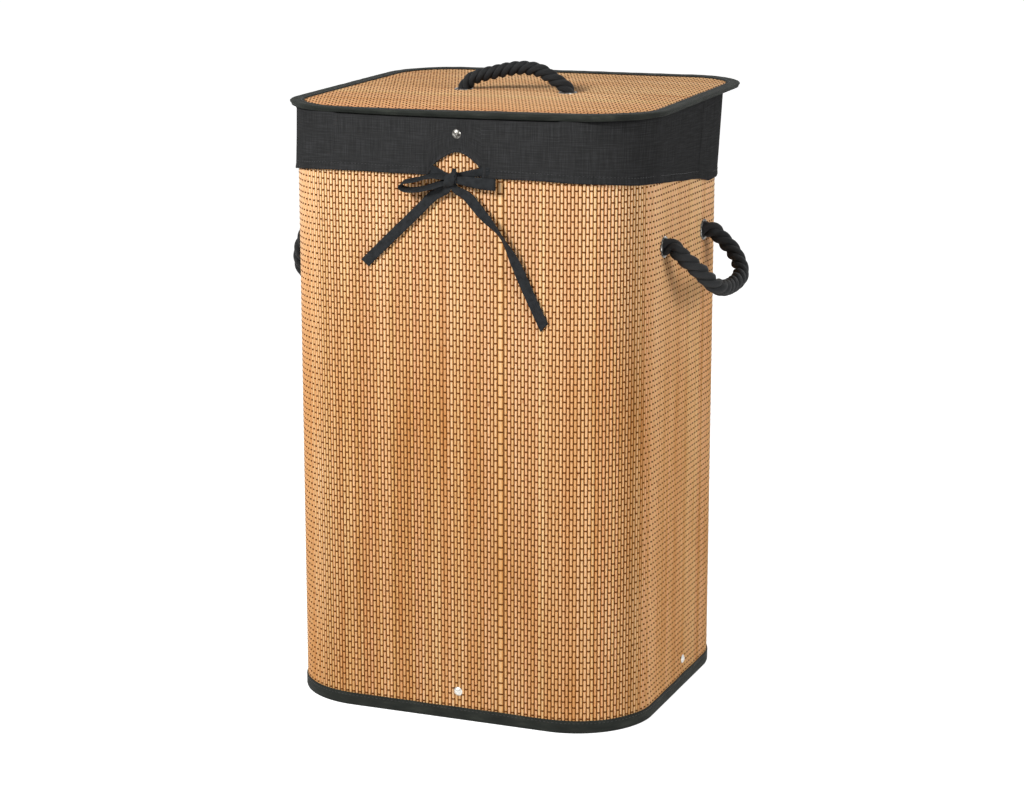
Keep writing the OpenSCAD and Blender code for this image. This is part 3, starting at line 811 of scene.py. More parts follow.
# %% Bamboo wall
random.seed(20)
slats = round(WALL_LENGTH / SLAT_PITCH)
pitch = WALL_LENGTH / slats
templates = [column(MAT_HIGH - MAT_LOW, 2 + ROW * k) for k in (0, 1)]
eighth = WALL_LENGTH / 8
wide_slat = round(54.5 / pitch)
EYELET_GAP = 1.2  # between a rope and the mat it is threaded through
bore = ROPE_D / 2 + EYELET_GAP
for quarter, side in enumerate(("front", "right", "back", "left")):
    bm = bmesh.new()
    for n in range(slats):
        s = (n + 0.5) * pitch
        if int(((s + eighth) % WALL_LENGTH) / (2 * eighth)) != quarter:
            continue
        point, outward = wall_at(s)
        wide = random.uniform(0.93, 1.07)
        shift = random.uniform(-0.12, 0.12)
        deep = random.uniform(-0.16, 0.0)
        lean = random.uniform(-0.035, 0.035)
        random.random()  # one draw more, so that the next slats stay as they are
        if n == wide_slat:
            wide, shift = 1.85, 0.45 * pitch
        if n == wide_slat + 1:
            continue  # the wide one fills its place
        forward = forward_of(outward)
        turn = Matrix((forward, -outward, (0, 0, 1))).transposed().to_4x4()
        place = (
            Matrix.Translation(point + forward * shift + outward * deep + up_by(MAT_LOW))
            @ turn
            @ Matrix.Rotation(lean, 4, "Z")
            @ Matrix.Diagonal((wide, 1, 1, 1))
        )
        holes = []
        for y in (-EYELET_Y, EYELET_Y) if side in ("left", "right") else ():
            off = abs(point.y - y)
            if off < bore:
                half = sqrt(bore * bore - off * off)
                holes.append((EYELET_Z - MAT_LOW - half, EYELET_Z - MAT_LOW + half))
        number = n + 4 * (n == wide_slat)
        keep = (-1, MAT_HIGH - MAT_LOW + 1) if holes else None
        lay_column(bm, templates[(n + (n > wide_slat)) % 2], number, place, keep, holes)
    finish_mat(f"bamboo_{side}", bm, "hamper", [bamboo, thread_brown], "bamboo_wall")
print(slats, "slats", round(pitch, 3), "mm apart")

# %% [markdown]
# Between the slats only shade is seen. A thin brown sheet just behind the slats closes the mat, so
# that no light comes through, and its brown is painted shade.

# %% Mat backing
# Painted shade: the shaded sides of the slats and threads, seen only through the gaps, as a matt brown sheet.
backing, tree, where = new_material("painted_shade_behind_slats", rough=0.9)
shade = add(tree, "TexNoise", {"Vector": where, "Scale": 400, "Detail": 2})
paint(tree, add(tree, "ValToRGB", {0: shade}, [(0.3, "#623B13"), (0.7, "#855420")]))

low, high = MAT_LOW + 0.5, MAT_HIGH - 0.5
band = [(-1.6, low), (-1.6, high), (-2.4, high), (-2.4, low), (-1.6, low)]
bm = bmesh.new()
band_uv = lambda s, j: (s * MM, sum(band[j]) * MM)
surface(bm, steps(0, WALL_LENGTH, 160), range(len(band)), lambda s, j: by_wall(s, *band[j]), band_uv)
finish_piece("mat_backing", bm, "hamper", backing, smooth=False)

# %% [markdown]
# ### The lid's mat
#
# The lid is cut from a mat of slightly wider slats, which run from left to right. Each slat is cut
# to the rounded outline, just inside the dark tape, and punched for the rope's two eyelets. The lid
# is thin: its front edge sags in the middle, and the mat is creased a little along the handle.


# %% Lid mat
SAG_DEPTH, SAG_REACH = 2.0, 50  # at the front edge's middle, and how far back it fades
CREASE_HEIGHT, CREASE_REACH = 1.0, 15  # under the handle, and to its front and back


def lid_rise(x, y):
    """How far the lid's mat and tape stand over a flat lid, at a place in the lid's frame."""
    sag = SAG_DEPTH * max(0, 1 - ((x + 6) / 172) ** 2)
    sag *= exp(-(((y + LID_D / 2) / SAG_REACH) ** 2))
    crease = CREASE_HEIGHT * exp(-abs(y - GRIP_Y) / CREASE_REACH) * max(0, 1 - (x / 190) ** 2)
    return crease - sag


def on_lid(spot, z):
    """A place over the lid's underside, in the hamper's frame."""
    return LID @ (spot + up_by(z + lid_rise(spot.x, spot.y)))


def bend_to_lid(bm):
    """Bends a flat mesh in the lid's frame to the lid's shape, and moves it there."""
    for v in bm.verts:
        v.co.z += lid_rise(v.co.x, v.co.y)
    bmesh.ops.transform(bm, matrix=LID, verts=bm.verts)


random.seed(7)
bm = bmesh.new()
EDGE_IN, LID_PITCH, LID_ROW = 5, 4.24, 5.38
stretch = LID_ROW / ROW
lid_templates = [column(LID_W / stretch, 2.4 + ROW * k) for k in (0, 1)]
lid_slats = round((LID_D - 2 * EDGE_IN) / LID_PITCH)
lid_pitch = (LID_D - 2 * EDGE_IN) / lid_slats
inner_r = LID_R - EDGE_IN
lid_bore = LID_ROPE_D / 2 + EYELET_GAP
feet = (GRIP_X - GRIP_HALF, GRIP_X + GRIP_HALF)
turn = Matrix(((0, -1, 0), (0, 0, -1), (1, 0, 0))).transposed().to_4x4()
for n in range(lid_slats):
    y = -LID_D / 2 + EDGE_IN + (n + 0.5) * lid_pitch
    over = abs(y) - (LID_D / 2 - EDGE_IN - inner_r)
    half = LID_W / 2 - EDGE_IN
    if over > 0:
        half -= inner_r - sqrt(max(0, inner_r**2 - over**2))
    place = (
        Matrix.Translation((-LID_W / 2, y, LID_TOP - random.uniform(0, 0.16)))
        @ turn
        @ Matrix.Rotation(random.uniform(-0.03, 0.03), 4, "Z")
        @ Matrix.Diagonal((lid_pitch / SLAT_PITCH * random.uniform(0.92, 1.0), 1.48, stretch, 1))
    )
    holes = []
    if abs(y - GRIP_Y) < lid_bore:
        gap = sqrt(lid_bore**2 - (y - GRIP_Y) ** 2)
        holes = [((LID_W / 2 + x - gap) / stretch, (LID_W / 2 + x + gap) / stretch) for x in feet]
    keep = ((LID_W / 2 - half) / stretch, (LID_W / 2 + half) / stretch)
    creases = steps(40, 380, 10) if y < -80 or abs(y - GRIP_Y) < 45 else ()
    lay_column(bm, lid_templates[n % 2], 1000 + n, place, keep, holes, creases)
bend_to_lid(bm)
finish_mat("lid_slats", bm, "lid", [lid_bamboo, lid_thread], "lid_mat")
for m in templates + lid_templates:
    bpy.data.meshes.remove(m)
print(lid_slats, "slats in the lid")

# %% [markdown]
# The lid has a backing like the wall's, so that no light comes through between its slats, and it is
# brown with the same painted shade. It is a thin plate in the middle of the mat, open at the eyelets.

# %% Lid mat backing
PLATE_IN = 6
bm = bmesh.new()
bmesh.ops.create_grid(bm, x_segments=96, y_segments=86, size=1)
reach = max(v.co.x for v in bm.verts)
for v in bm.verts:
    v.co = Vector((v.co.x / reach * (LID_W / 2 - PLATE_IN), v.co.y / reach * (LID_D / 2 - PLATE_IN), 2.0))


def off_the_mat(p):
    """True outside the lid's rounded outline and in the eyelets' holes."""
    corner = Vector((abs(p.x) - LID_W / 2 + LID_R, abs(p.y) - LID_D / 2 + LID_R))
    outside = min(corner) > 0 and corner.length > LID_R - PLATE_IN
    return outside or min(hypot(p.x - x, p.y - GRIP_Y) for x in feet) < lid_bore + 2


bmesh.ops.delete(bm, geom=[f for f in bm.faces if off_the_mat(f.calc_center_median())], context="FACES")
top = bmesh.ops.extrude_face_region(bm, geom=bm.faces[:])["geom"]
bmesh.ops.translate(bm, vec=(0, 0, 0.5), verts=only(bmesh.types.BMVert, top))
bend_to_lid(bm)
finish_piece("lid_mat_backing", bm, "lid", backing, smooth=False)

# %% [markdown]
# ## Dark binding tape
#
# A black tape is folded over the wall's lower edge and round the lid's rim. On the lid it covers a
# wire, so the edge is round and stands a little proud. The tape has a slight sheen, fine woven
# ribs and a row of stitches near its inner edge.

# %% Binding tape material
# Polyester webbing tape: near-black with a green-grey cast, smoother and shinier than the cloth.
tape_black, tree, where = new_material("woven_binding_tape", "UV", rough=0.7, specular=0.12)
# Ribs 0.8 mm apart across the tape, and finer threads along it.
cords = add(tree, "TexWave", {"Vector": where, "Scale": 390, "Distortion": 1.2, "Detail": 1})
threads = {"Vector": where, "Scale": 560, "Distortion": 1.0, "Detail": 1}
threads = add(tree, "TexWave", threads, bands_direction="Y")
# Dust and rubbing, in patches some 20 mm long.
patches = add(tree, "Mapping", {"Vector": where, "Scale": (45, 160, 1)})
rubbed = add(tree, "TexNoise", {"Vector": patches, "Scale": 1, "Detail": 4})
tone = add(tree, "ValToRGB", {0: rubbed}, [(0.3, "#1E211E"), (0.55, "#2A2D29"), (0.8, "#3D403A")])
# Painted shade in the hollows between the ribs.
hollow_shade = add(tree, "MapRange", {"Value": cords, "To Max": 0.35})
tone = add(tree, "Mix", {0: hollow_shade, 6: tone, 7: "#141613"}, data_type="RGBA")
height = add(tree, "Math", {0: cords, 1: threads}, operation="ADD")
paint(tree, tone, height, 0.00018, 0.7)

# %% Stitches
# Black polyester sewing thread, slightly glossy.
stitch_thread, tree, where = new_material("black_sewing_thread", rough=0.45)
twist = add(tree, "TexWave", {"Vector": where, "Scale": 900, "Distortion": 1})
paint(tree, add(tree, "ValToRGB", {0: twist}, [(0.0, "#0E0F10"), (1.0, "#2A2B2D")]))


def stitches(bm, at, length, gap=4.2, long=3.0, thick=0.32):
    """A row of stitches along a line. at(s) gives (point, direction along, direction outward)."""
    count = int(length / gap)
    for k in range(count):
        point, along, out = at((k + 0.5) * length / count)
        turn = Matrix((along, out.cross(along), out)).transposed().to_4x4()
        size = Matrix.Diagonal((long / 2, thick, thick * 0.6, 1))
        place = Matrix.Translation(point) @ turn @ size
        bmesh.ops.create_icosphere(bm, subdivisions=1, radius=1, matrix=place)


# %% Tape on the wall's foot
def ripple(s, j, size):
    """A small uneven rise and fall of hand-folded tape."""
    a = s * 2 * pi / WALL_LENGTH
    return size * noise.noise(Vector((cos(a) * 6, sin(a) * 6, j * 0.3)))


def profile_uv(profile):
    """A UV map for a profile carried along a line: metres along, and metres round the profile."""
    return lambda s, j: (s * MM, sum(dist(profile[k], profile[k + 1]) for k in range(j)) * MM)


FOOT = size_of("bottom_binding")[1].z
foot_profile = [(-3.4, FOOT - 0.6), (-3.45, 2), (-3.2, 0.5), (-2.4, 0.05), (-0.2, 0.05), (0.7, 0.5)]
foot_profile += [(1.0, 1.8), (1.05, 6), (1.0, FOOT - 1.2), (0.75, FOOT - 0.1), (0.1, FOOT)]


def foot_place(s, j):
    off, z = foot_profile[j]
    return by_wall(s, off + (j >= 6) * ripple(s, j, 0.25), z + (j >= 8) * ripple(s, 20, 0.5))


def foot_stitch(s):
    outward = wall_at(s)[1]
    return by_wall(s, 1.1, FOOT - 2.4), forward_of(outward), outward


bm = bmesh.new()
surface(bm, steps(0, WALL_LENGTH, 420), range(len(foot_profile)), foot_place, profile_uv(foot_profile))
finish_piece("foot_tape", bm, "hamper", tape_black, replaces=("bottom_binding",))
bm = bmesh.new()
stitches(bm, foot_stitch, WALL_LENGTH)
finish_piece("foot_stitches", bm, "hamper", stitch_thread)

# %% Tape round the lid
LID_TAPE = 14
rim_profile = [
    *((-LID_TAPE, LID_TOP + 0.12), (-LID_TAPE + 0.3, LID_TOP + 0.75), (-LID_TAPE + 1.2, LID_T - 0.25)),
    *((-9, LID_T - 0.2), (-5, LID_T - 0.1), (-2.4, LID_T + 0.1), (-0.9, LID_T - 0.3), (-0.1, LID_T - 1.0)),
    *((0.0, LID_T - 1.6), (-0.7, LID_T - 2.3), (-1.2, 1.6), (-1.5, 0.5), (-2.6, 0.0), (-5, 0.15), (-9, 0.3)),
    *((-LID_TAPE + 1.2, 0.3), (-LID_TAPE + 0.3, 0.6), (-LID_TAPE, 1.1)),
]


def lid_place(s, j):
    point, outward = lid_at(s)
    off, z = rim_profile[j]
    inner = 1 if j < 3 or j > 14 else 0.3
    # Folded by hand, the tape reaches further in on the right and stands up more there.
    front_right = max(0, -outward.y) * min(1, max(0, (point.x + 110) / 150))
    if inner == 1:
        off *= 1 + 0.22 * front_right
    if 1 < j < 8:
        z += 1.3 * front_right
    off += inner * 0.9 * noise.noise(point / 13 + up_by(5 if j < 8 else 9))
    z += 0.22 * noise.noise(point / 11 + up_by(off / 3))
    return on_lid(point + outward * off, z)


bm = bmesh.new()
surface(bm, steps(0, LID_LENGTH, 460), range(len(rim_profile)), lid_place, profile_uv(rim_profile))
finish_piece("lid_tape", bm, "lid", tape_black, replaces=("lid_binding",))

bm = bmesh.new()
spin = LID.to_3x3()
for height, face in ((LID_T - 0.1, 1), (0.1, -1)):

    def along_rim(s, height=height, face=face):
        point, outward = lid_at(s)
        spot = on_lid(point - outward * (LID_TAPE - 3), height)
        return spot, spin @ forward_of(outward), spin @ up_by(face)

    stitches(bm, along_rim, LID_LENGTH)
finish_piece("lid_stitches", bm, "lid", stitch_thread)

# %% [markdown]
# ## The liner's cuff
#
# The liner is charcoal cotton in a plain weave. Its cuff is folded down over the rim and ends in a
# hem that holds the ribbon. At the front the hem stops short and an arch is cut out of it, so that
# the ribbon can come out and be tied. The cloth is a band round the wall, whose lower edge follows
# a line: level at the front, lower at the sides where the cuff has slipped, and up over the arch.

# %% Cotton cloth material
# Dyed plain-woven cotton: charcoal, quite matt, with threads some 0.7 mm apart and of uneven
# thickness, which gives faint streaks both ways.
linen, tree, where = new_material("charcoal_plain_weave_cotton", "UV", rough=0.85, specular=0.02)
threads = {"Vector": where, "Scale": 450, "Distortion": 1.5, "Detail": 1}
warp, weft = (add(tree, "TexWave", threads, bands_direction=way) for way in "XY")
weave = add(tree, "Math", {0: warp, 1: weft}, operation="MULTIPLY")
streaks = []
for size in ((900, 40, 1), (40, 900, 1)):
    stretched = add(tree, "Mapping", {"Vector": where, "Scale": size})
    streaks.append(add(tree, "TexNoise", {"Vector": stretched, "Scale": 1, "Detail": 3}))
slub = add(tree, "Math", {0: streaks[0], 1: streaks[1]}, operation="ADD")
slub = add(tree, "MapRange", {"Value": slub, "From Min": 0.7, "From Max": 1.3})
tone = add(tree, "ValToRGB", {0: slub}, [(0.1, "#2C2C2C"), (0.5, "#343434"), (0.95, "#3F3F40")])
# Painted shade between the threads of the weave.
thread_gap_shade = add(tree, "MapRange", {"Value": weave, "To Min": 0.35, "To Max": 0.0})
tone = add(tree, "Mix", {0: thread_gap_shade, 6: tone, 7: "#17181A"}, data_type="RGBA")
height = add(tree, "Math", {0: weave, 1: slub}, operation="ADD")
paint(tree, tone, height, 0.00025, 0.7)

# %% The cuff's lower edge
# The arch, from its left corner over the top to the tip on the right: (place along the front,
# height over the hem line). The hem's own height: (distance round the wall, height).
ARCH = [(-16.6, 0), (-16, 1), (-13, 4.5), (-10.5, 9.5), (-2, 16), (6, 20.6), (13, 22.6), (18, 22)]
ARCH += [(23, 19.8), (30, 15), (36.5, 9.3), (38, 7), (38.3, 0)]
HEM = [(0, 0), (105, -0.9), (161, -3.5), (189, -6), (217, -6.9), (278, -11.9), (303, -14.5), (328, -15.6)]
HEM += [(354, -18.3), (381, -23.4), (520, -21), (760, -14), (1000, -10), (1061, -7.4), (1089, -3.9)]
HEM += [(1117, -1.4), (1145, 0.3), (1180, 0.4), (WALL_LENGTH, 0)]
ARCH_LEFT, ARCH_RIGHT = ARCH[0][0], ARCH[-1][0]
FINE_LEFT, FINE_RIGHT = -22, 45
arch_line = smooth_route([(x, 0, z) for x, z in ARCH], 6)


def notch_rise(x):
    """How far the arch stands above the hem line, at a place along the front."""
    if not ARCH_LEFT < x < ARCH_RIGHT:
        return 0
    return float(np.interp(x, [p.x for p in arch_line], [p.z for p in arch_line]))


def hem_line(s):
    """The height of the cuff's lower edge at a distance round the wall, and the arch's part in it."""
    drop = float(np.interp(s % WALL_LENGTH, *zip(*HEM)))
    point, outward = wall_at(s)
    soft = 0.4 * noise.noise(Vector((cos(s / 200) * 5, sin(s / 200) * 5, 0)))
    arch = notch_rise(point.x) if outward.y < -0.99 else 0
    return HEM_Z + drop + soft + arch, arch


# The seam stands on the right wall, a little behind its middle: past half the front and a corner.
SEAM = 106 + pi / 2 * CORNER_R + 117
stations = [v for v in steps(0, WALL_LENGTH, 420) if FINE_RIGHT <= v <= WALL_LENGTH + FINE_LEFT]
stations += [x % WALL_LENGTH for x in steps(FINE_LEFT, FINE_RIGHT, 100)]
stations += [SEAM + d for d in (-3, -1.2, -0.6, 0, 0.4, 0.8, 1.6, 3)]
stations = [0.0] + sorted({round(v, 2) for v in stations}) + [WALL_LENGTH]

# %% [markdown]
# The cloth's path up and over the rim is a list of steps from the inside of the rim, over the top,
# down the outside, round the hem and a little way up behind it.

# %% Cuff
# Each row: (offset from the wall, share of the way down from the rim to the lower edge, extra height)
cuff_rows = [(-8.4, None, -14), (-8.3, None, -4), (-7.4, None, -0.9), (-5, None, -0.35), (-1.5, None, -0.3)]
cuff_rows += [(1.2, None, -0.4), (2.1, None, -1.2)]
cuff_rows += [(2.35 + 0.25 * k / 14, (k + 0.6) / 15.0, 0) for k in range(14)]
cuff_rows += [(3.0, 0.955, 0), (3.3, 0.985, 0), (2.9, 1.0, 0.0), (1.9, 1.0, 0.3), (1.5, 0.98, 0.5)]
cuff_rows += [(1.4, 0.86, 0)]
SEAM_LAP = 60


def cuff_place(s, j):
    point, outward = wall_at(s)
    off, share, lift = cuff_rows[j]
    edge, arch = hem_line(s)
    front = outward.y < -0.99
    # On the front the rim is pressed down under the lid. On the right the cloth stands off the
    # wall at the rim and comes back to it at the hem, and on the left it is drawn tight.
    pressed = 2.0 * max(0, 1 - (point.x / 172) ** 2) if front else 0
    right, left = max(0, outward.x) ** 2, max(0, -outward.x) ** 2
    # Towards the back the cloth stands up over the mat, to the lid that rests on it.
    pressed -= min(7.5, max(0, (point.y - FRONT) * tan(LID_TILT) - 0.3))
    if share is None:
        off += right * max(0, off + 1) * 1.7
        return point + outward * off + up_by(RIM_Z + lift - pressed)
    top = RIM_Z - 1.4 - pressed
    z = top + (edge - top) * share + lift
    off += right * (5.2 * (1 - share) - 0.3) - left * (1.9 - 1.4 * share)
    if j < len(cuff_rows) - 2:
        fold = noise.noise(Vector((point.x / 38, point.y / 38, z / 60)))
        fold += 0.5 * noise.noise(Vector((point.x / 13, point.y / 13, z / 30 + 4)))
        free = min(1, max(0, share)) ** 1.5
        off += 0.55 * fold * (0.25 + free)
        # Small puckers where the ribbon draws the hem in beside the arch.
        near = exp(-((abs(point.x - 14) - 30) ** 2) / 160) if front else 0
        off += free * near * 0.9 * sin(point.x * 1.1)
        if arch > 1:
            off -= 0.5 * free
        # The seam: the cloth behind it lies over the cloth in front.
        past = s - SEAM
        if 0 <= past < SEAM_LAP:
            off += 0.9 * (1 - past / SEAM_LAP)
        off = max(off, 0.5 if left > 0.3 else 1.35)
    return point + outward * off + up_by(z)


def cuff_uv(s, j):
    off, share, _ = cuff_rows[j]
    return s * MM, (RIM_Z + (off if share is None else -60 * share)) * MM


bm = bmesh.new()
surface(bm, stations, range(len(cuff_rows)), cuff_place, cuff_uv)
stands_for = ("liner_cuff", "drawstring", "top_binding")
cuff = finish_piece("cuff", bm, "hamper", linen, replaces=stands_for)

# %% [markdown]
# A line of stitches runs above the hem and round the arch.


# %% Cuff stitching
def cuff_stitch(s, up, out_by, step):
    """One stitch, a little over the cuff's lower edge and in line with it."""
    before, spot, after = (
        by_wall(x, out_by - 0.5 * max(0, -wall_at(x)[1].x) ** 2, hem_line(x)[0] + up)
        for x in (s - step, s, s + step)
    )
    return spot, (after - before).normalized(), wall_at(s)[1]


# The hem's stitches stop short of the arch, at these distances right and left of the middle.
HEM_FROM, HEM_TO = 43, 22
bm = bmesh.new()
hem_length, arch_length = WALL_LENGTH - HEM_FROM - HEM_TO, ARCH_RIGHT - ARCH_LEFT
stitches(bm, lambda s: cuff_stitch(s + HEM_FROM, 7.2, 3.0, 0.8), hem_length, 3.6, 2.6, 0.28)
stitches(bm, lambda t: cuff_stitch(ARCH_LEFT + t, 2.0, 2.9, 0.4), arch_length, 3.4, 2.4, 0.26)
finish_piece("cuff_stitches", bm, "hamper", stitch_thread)

# %% [markdown]
# ## The liner bag
#
# The bag hangs inside from the rim and rests on the base board. It is seen when the lid is open.
# Cloth that hangs from a rounded opening falls in soft upright folds, so its wall is a band with
# folds that grow towards the foot, closed by a floor that sags into the corners.

# %% Liner bag
BAG_FLOOR, BAG_TOP = size_of("liner_bag")[0].z + 1, RIM_Z - 4
BAG_LENGTH, bag_at = rounded(WALL_W - 50, WALL_D - 34, CORNER_R - 17)
CLOTH = 0.6


def give_thickness(piece, offset):
    """Makes a single sheet as thick as the cloth, on one side of it or on both."""
    thick = piece.modifiers.new("thickness", "SOLIDIFY")
    thick.thickness = CLOTH * MM
    thick.offset = offset


def bag_place(t, z):
    up = (z - BAG_FLOOR) / (BAG_TOP - BAG_FLOOR)
    outer, out_dir = wall_at(t * WALL_LENGTH)
    inner, in_dir = bag_at(t * BAG_LENGTH)
    mix = min(1, max(0, (z - 500) / 62))
    mix = mix * mix * (3 - 2 * mix)
    point = (inner - in_dir * 1.0).lerp(outer - out_dir * 8.9, mix)
    a = t * 2 * pi
    ring = Vector((cos(a) * 3.2, sin(a) * 3.2, z / 260))
    fold = noise.noise(ring) + 0.6 * noise.noise(ring * 2.3 + Vector((5, 0, 0))) + 0.3 * noise.noise(ring * 5)
    depth = 7 * (1 - mix) * (0.45 + 0.55 * (1 - up)) * (0.35 if z < BAG_FLOOR + 4 else 1)
    point -= in_dir * (depth * (0.6 + fold) * (1 - mix) + 0.2)
    point.z = z
    return point


bm = bmesh.new()
bag_uv = lambda t, z: (t * BAG_LENGTH * MM, z * MM)
surface(bm, steps(0, 1, 300), steps(BAG_FLOOR, BAG_TOP, 44), bag_place, bag_uv)
ring = [e for e in bm.edges if e.is_boundary and max(v.co.z for v in e.verts) < BAG_FLOOR + 1]
for k in range(10, 1, -1):
    made = bmesh.ops.extrude_edge_only(bm, edges=ring)["geom"]
    ring = only(bmesh.types.BMEdge, made)
    for v in only(bmesh.types.BMVert, made):
        v.co.x *= 1 - 1 / k
        v.co.y *= 1 - 1 / k
        v.co.z = BAG_FLOOR + 1.2 + 1.4 * noise.noise(v.co / 45)
middle = bmesh.ops.holes_fill(bm, edges=ring, sides=0)["faces"]
layer = bm.loops.layers.uv.verify()
for f in bm.faces:
    if f.calc_center_median().z < BAG_FLOOR + 3 and abs(f.normal.z) > 0.5 or f in middle:
        for loop in f.loops:
            loop[layer].uv = (loop.vert.co.x * MM, loop.vert.co.y * MM)
bag = finish_piece("liner", bm, "hamper", linen, replaces=("liner_bag",))
give_thickness(bag, 1)

# %% [markdown]
# ## Cloth hinge tabs
#
# Two cloth tabs are sewn to the cuff at the back and to the underside of the lid. They bend when
# the lid opens, and here each is attached to neither the hamper nor the lid.

# %% Hinge tabs
HINGE = Vector(next(j for j in frame["joints"] if j["name"] == "lid_hinge")["pos_m"]) / MM
TAB_AT, TAB_HALF = 95, 30
back, (_, y, z) = WALL_D / 2 + 2.6, HINGE
tab_line = [(back, RIM_Z - 35), (back, RIM_Z - 18), (back + 0.1, RIM_Z - 4), (y - 0.9, RIM_Z + 2.4)]
tab_line += [(y - 0.6, z - 1.4), (y - 3, z - 0.7), (y - 11, z - 0.85), (y - 19, z - 1.0)]
line = even_route(smooth_route([(0, y, z) for y, z in tab_line], 6), 1.2)
for side, name in ((-1, "left"), (1, "right")):

    def tab_place(i, x, side=side):
        out = Vector((1, 0, 0)).cross(along_at(line, i))
        wave = 0.12 * noise.noise(Vector((x / 7, i / 5, side)))
        return line[i] + Vector((side * TAB_AT + x, 0, 0)) - out * (0.15 + wave)

    bm = bmesh.new()
    across = steps(-TAB_HALF, TAB_HALF, 30)
    surface(bm, range(len(line)), across, tab_place, lambda i, x: (x * MM, i * 1.2 * MM), closed=False)
    stands_for = ("lid_hinge_tabs",) if side < 0 else ()
    tab = finish_piece(f"hinge_tab_{name}", bm, None, tape_black, replaces=stands_for)
    give_thickness(tab, 0)
    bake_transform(tab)

# %% [markdown]
# ## Metal
#
# The eyelets and rivets are nickel-plated steel: bright, smooth, and a little scuffed. The hoops
# and their clips inside are plain steel wire and strip.


# %% Metal and board materials
def metal(name, scale, detail, stops, rough_low, rough_high, strength=0.0):
    """Bare metal whose colour and roughness change with the same marks."""
    made, tree, where = new_material(name, metallic=1.0)
    marks = add(tree, "TexNoise", {"Vector": where, "Scale": scale, "Detail": detail})
    rough = add(tree, "MapRange", {"Value": marks, "To Min": rough_low, "To Max": rough_high})
    tone = add(tree, "ValToRGB", {0: marks}, stops)
    paint(tree, tone, marks if strength else None, 0.00005, strength, rough)
    return made


# Barrel-plated nickel: warm white metal with soft scratches from tumbling.
nickel = metal("nickel_plated_steel", 700, 4, [(0.3, "#B9B7B0"), (0.7, "#E6E4DE")], 0.16, 0.4, 0.4)
# The same plating painted darker, grey to near-black: a painted reflection of dark surroundings.
stops = [(0.38, "#3A3835"), (0.55, "#7C7A75"), (0.68, "#D8D6D0")]
nickel_painted_dark = metal("nickel_plate_with_painted_dark_reflection", 420, 4, stops, 0.6, 0.2)
# Drawn and rolled mild steel, greased, never polished.
wire_steel = metal("drawn_steel_wire", 350, 5, [(0.3, "#6C6A66"), (0.7, "#9A9892")], 0.35, 0.6)

# Pressed wood fibre: even brown, fine speckle, smooth and dull.
board_brown, tree, where = new_material("hardboard", rough=0.75)
flecks = add(tree, "TexNoise", {"Vector": where, "Scale": 500, "Detail": 5, "Roughness": 0.7})
tone = add(tree, "ValToRGB", {0: flecks}, [(0.3, "#6B4A2C"), (0.55, "#8A6440"), (0.8, "#A37C52")])
paint(tree, tone, flecks, 0.0002, 0.5)

# %% Dress the frame's own parts
dress = {
    nickel: ("base_rivets", "side_eyelet_washers", "lid_eyelet_washers"),
    nickel_painted_dark: ("rim_rivets", "side_eyelets", "lid_eyelets"),
    wire_steel: ("lower_wire_hoop", "upper_wire_hoop", "lower_hoop_clips", "upper_hoop_clips"),
    board_brown: ("base_board",),
    rope_black: ("left_handle_knots", "right_handle_knots", "lid_handle_knots"),
    tape_black: ("wall_seam_tape",),
}
for material, names in dress.items():
    for name in names:
        part = frame["nodes"][name]
        part.data.materials.clear()
        part.data.materials.append(material)
        part.data.polygons.foreach_set("use_smooth", [False] * len(part.data.polygons))
print("frame parts dressed:", sum(len(names) for names in dress.values()))

# %% [markdown]
# ### The wire in the lid's edge
#
# A steel wire stiffens the lid's edge inside its tape. It is bent with the lid, so it follows the
# sag at the front and never shows through the cloth.

# %% Wire in the lid's edge
WIRE_IN, WIRE_R, WIRE_SIDES = 2.7, 1.3, 10


def lid_wire_place(s, j):
    point, outward = lid_at(s)
    angle = tau * j / WIRE_SIDES
    spot = point - outward * (WIRE_IN + WIRE_R * cos(angle))
    return on_lid(spot, LID_T / 2 + WIRE_R * sin(angle))


bm = bmesh.new()
wire_uv = lambda s, j: (s * MM, 0.8 * j * MM)
surface(bm, steps(0, LID_LENGTH, 230), range(WIRE_SIDES + 1), lid_wire_place, wire_uv)
finish_piece("lid_rim_wire", bm, "lid", wire_steel, replaces=("lid_edge_wire",))

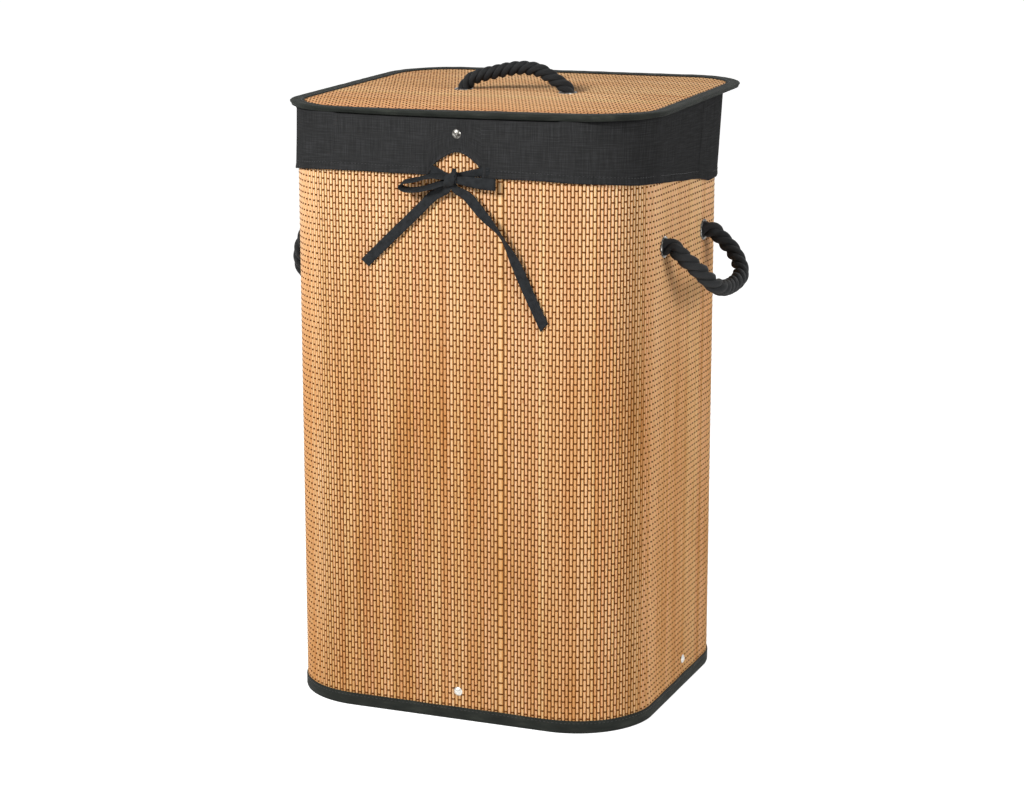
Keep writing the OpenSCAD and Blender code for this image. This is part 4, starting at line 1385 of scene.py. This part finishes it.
# %% [markdown]
# ## Floor, background and light
#
# The hamper stands on a plain white floor. Seen by the camera, and in reflections, the floor and
# the world are pure white, but they light the hamper only softly. A bright lamp near the front, a
# little to the left and above, lights the upper part most and gives the ribbons their shadows. A
# wider one fills the right wall, and a weak one behind keeps the back from looking flat.


# %% Floor and background
def seen_directly(tree):
    """1 for rays from the camera, in reflections and through glass, and 0 for the light they give."""
    rays = add(tree, "LightPath").outputs
    seen = add(tree, "Math", {0: rays["Is Camera Ray"], 1: rays["Is Glossy Ray"]}, operation="MAXIMUM")
    return add(tree, "Math", {0: seen, 1: rays["Is Transmission Ray"]}, operation="MAXIMUM")


white_floor, tree, _ = new_material("white_studio_floor", None, rough=0.9)
shader, out = tree.nodes["Principled BSDF"], tree.nodes["Material Output"]
shader.inputs["Base Color"].default_value = hex_colour("#C8C8C8")
glow = add(tree, "Emission", {"Color": "#FFFFFF", "Strength": 0.85})
lit = add(tree, "AddShader", {0: shader.outputs[0], 1: glow.outputs[0]})
mixed = add(tree, "MixShader", {0: seen_directly(tree), 1: shader.outputs[0], 2: lit.outputs[0]})
tree.links.new(mixed.outputs[0], out.inputs["Surface"])

bm = bmesh.new()
bmesh.ops.create_grid(bm, x_segments=1, y_segments=1, size=30)
mesh = bpy.data.meshes.new("floor")
bm.to_mesh(mesh)
bm.free()
floor = new_object("floor", mesh)
floor.location.z = -0.0002
mesh.materials.append(white_floor)

world = bpy.data.worlds.new("studio")
scene.world = world
world.use_nodes = True
tree = world.node_tree
tree.nodes.clear()
soft, bright = (add(tree, "Background", {"Color": "#FFFFFF", "Strength": much}) for much in (0.23, 1.0))
mixed = add(tree, "MixShader", {0: seen_directly(tree), 1: soft.outputs[0], 2: bright.outputs[0]})
add(tree, "OutputWorld", {"Surface": mixed.outputs[0]})

# %% Lamps
for name, place, size, power in (
    ("key", (-0.55, -1.45, 1.25), 0.32, 29.5),
    ("right_fill", (1.85, -0.85, 0.9), 1.0, 20),
    ("back_fill", (0.6, 2.4, 1.6), 1.2, 9),
):
    lamp = bpy.data.lights.new(name, "AREA")
    lamp.size = size
    lamp.energy = power
    aim(new_object(name, lamp), place, Vector((0, 0, 0.35)) - Vector(place))
scene.view_settings.view_transform = "Standard"
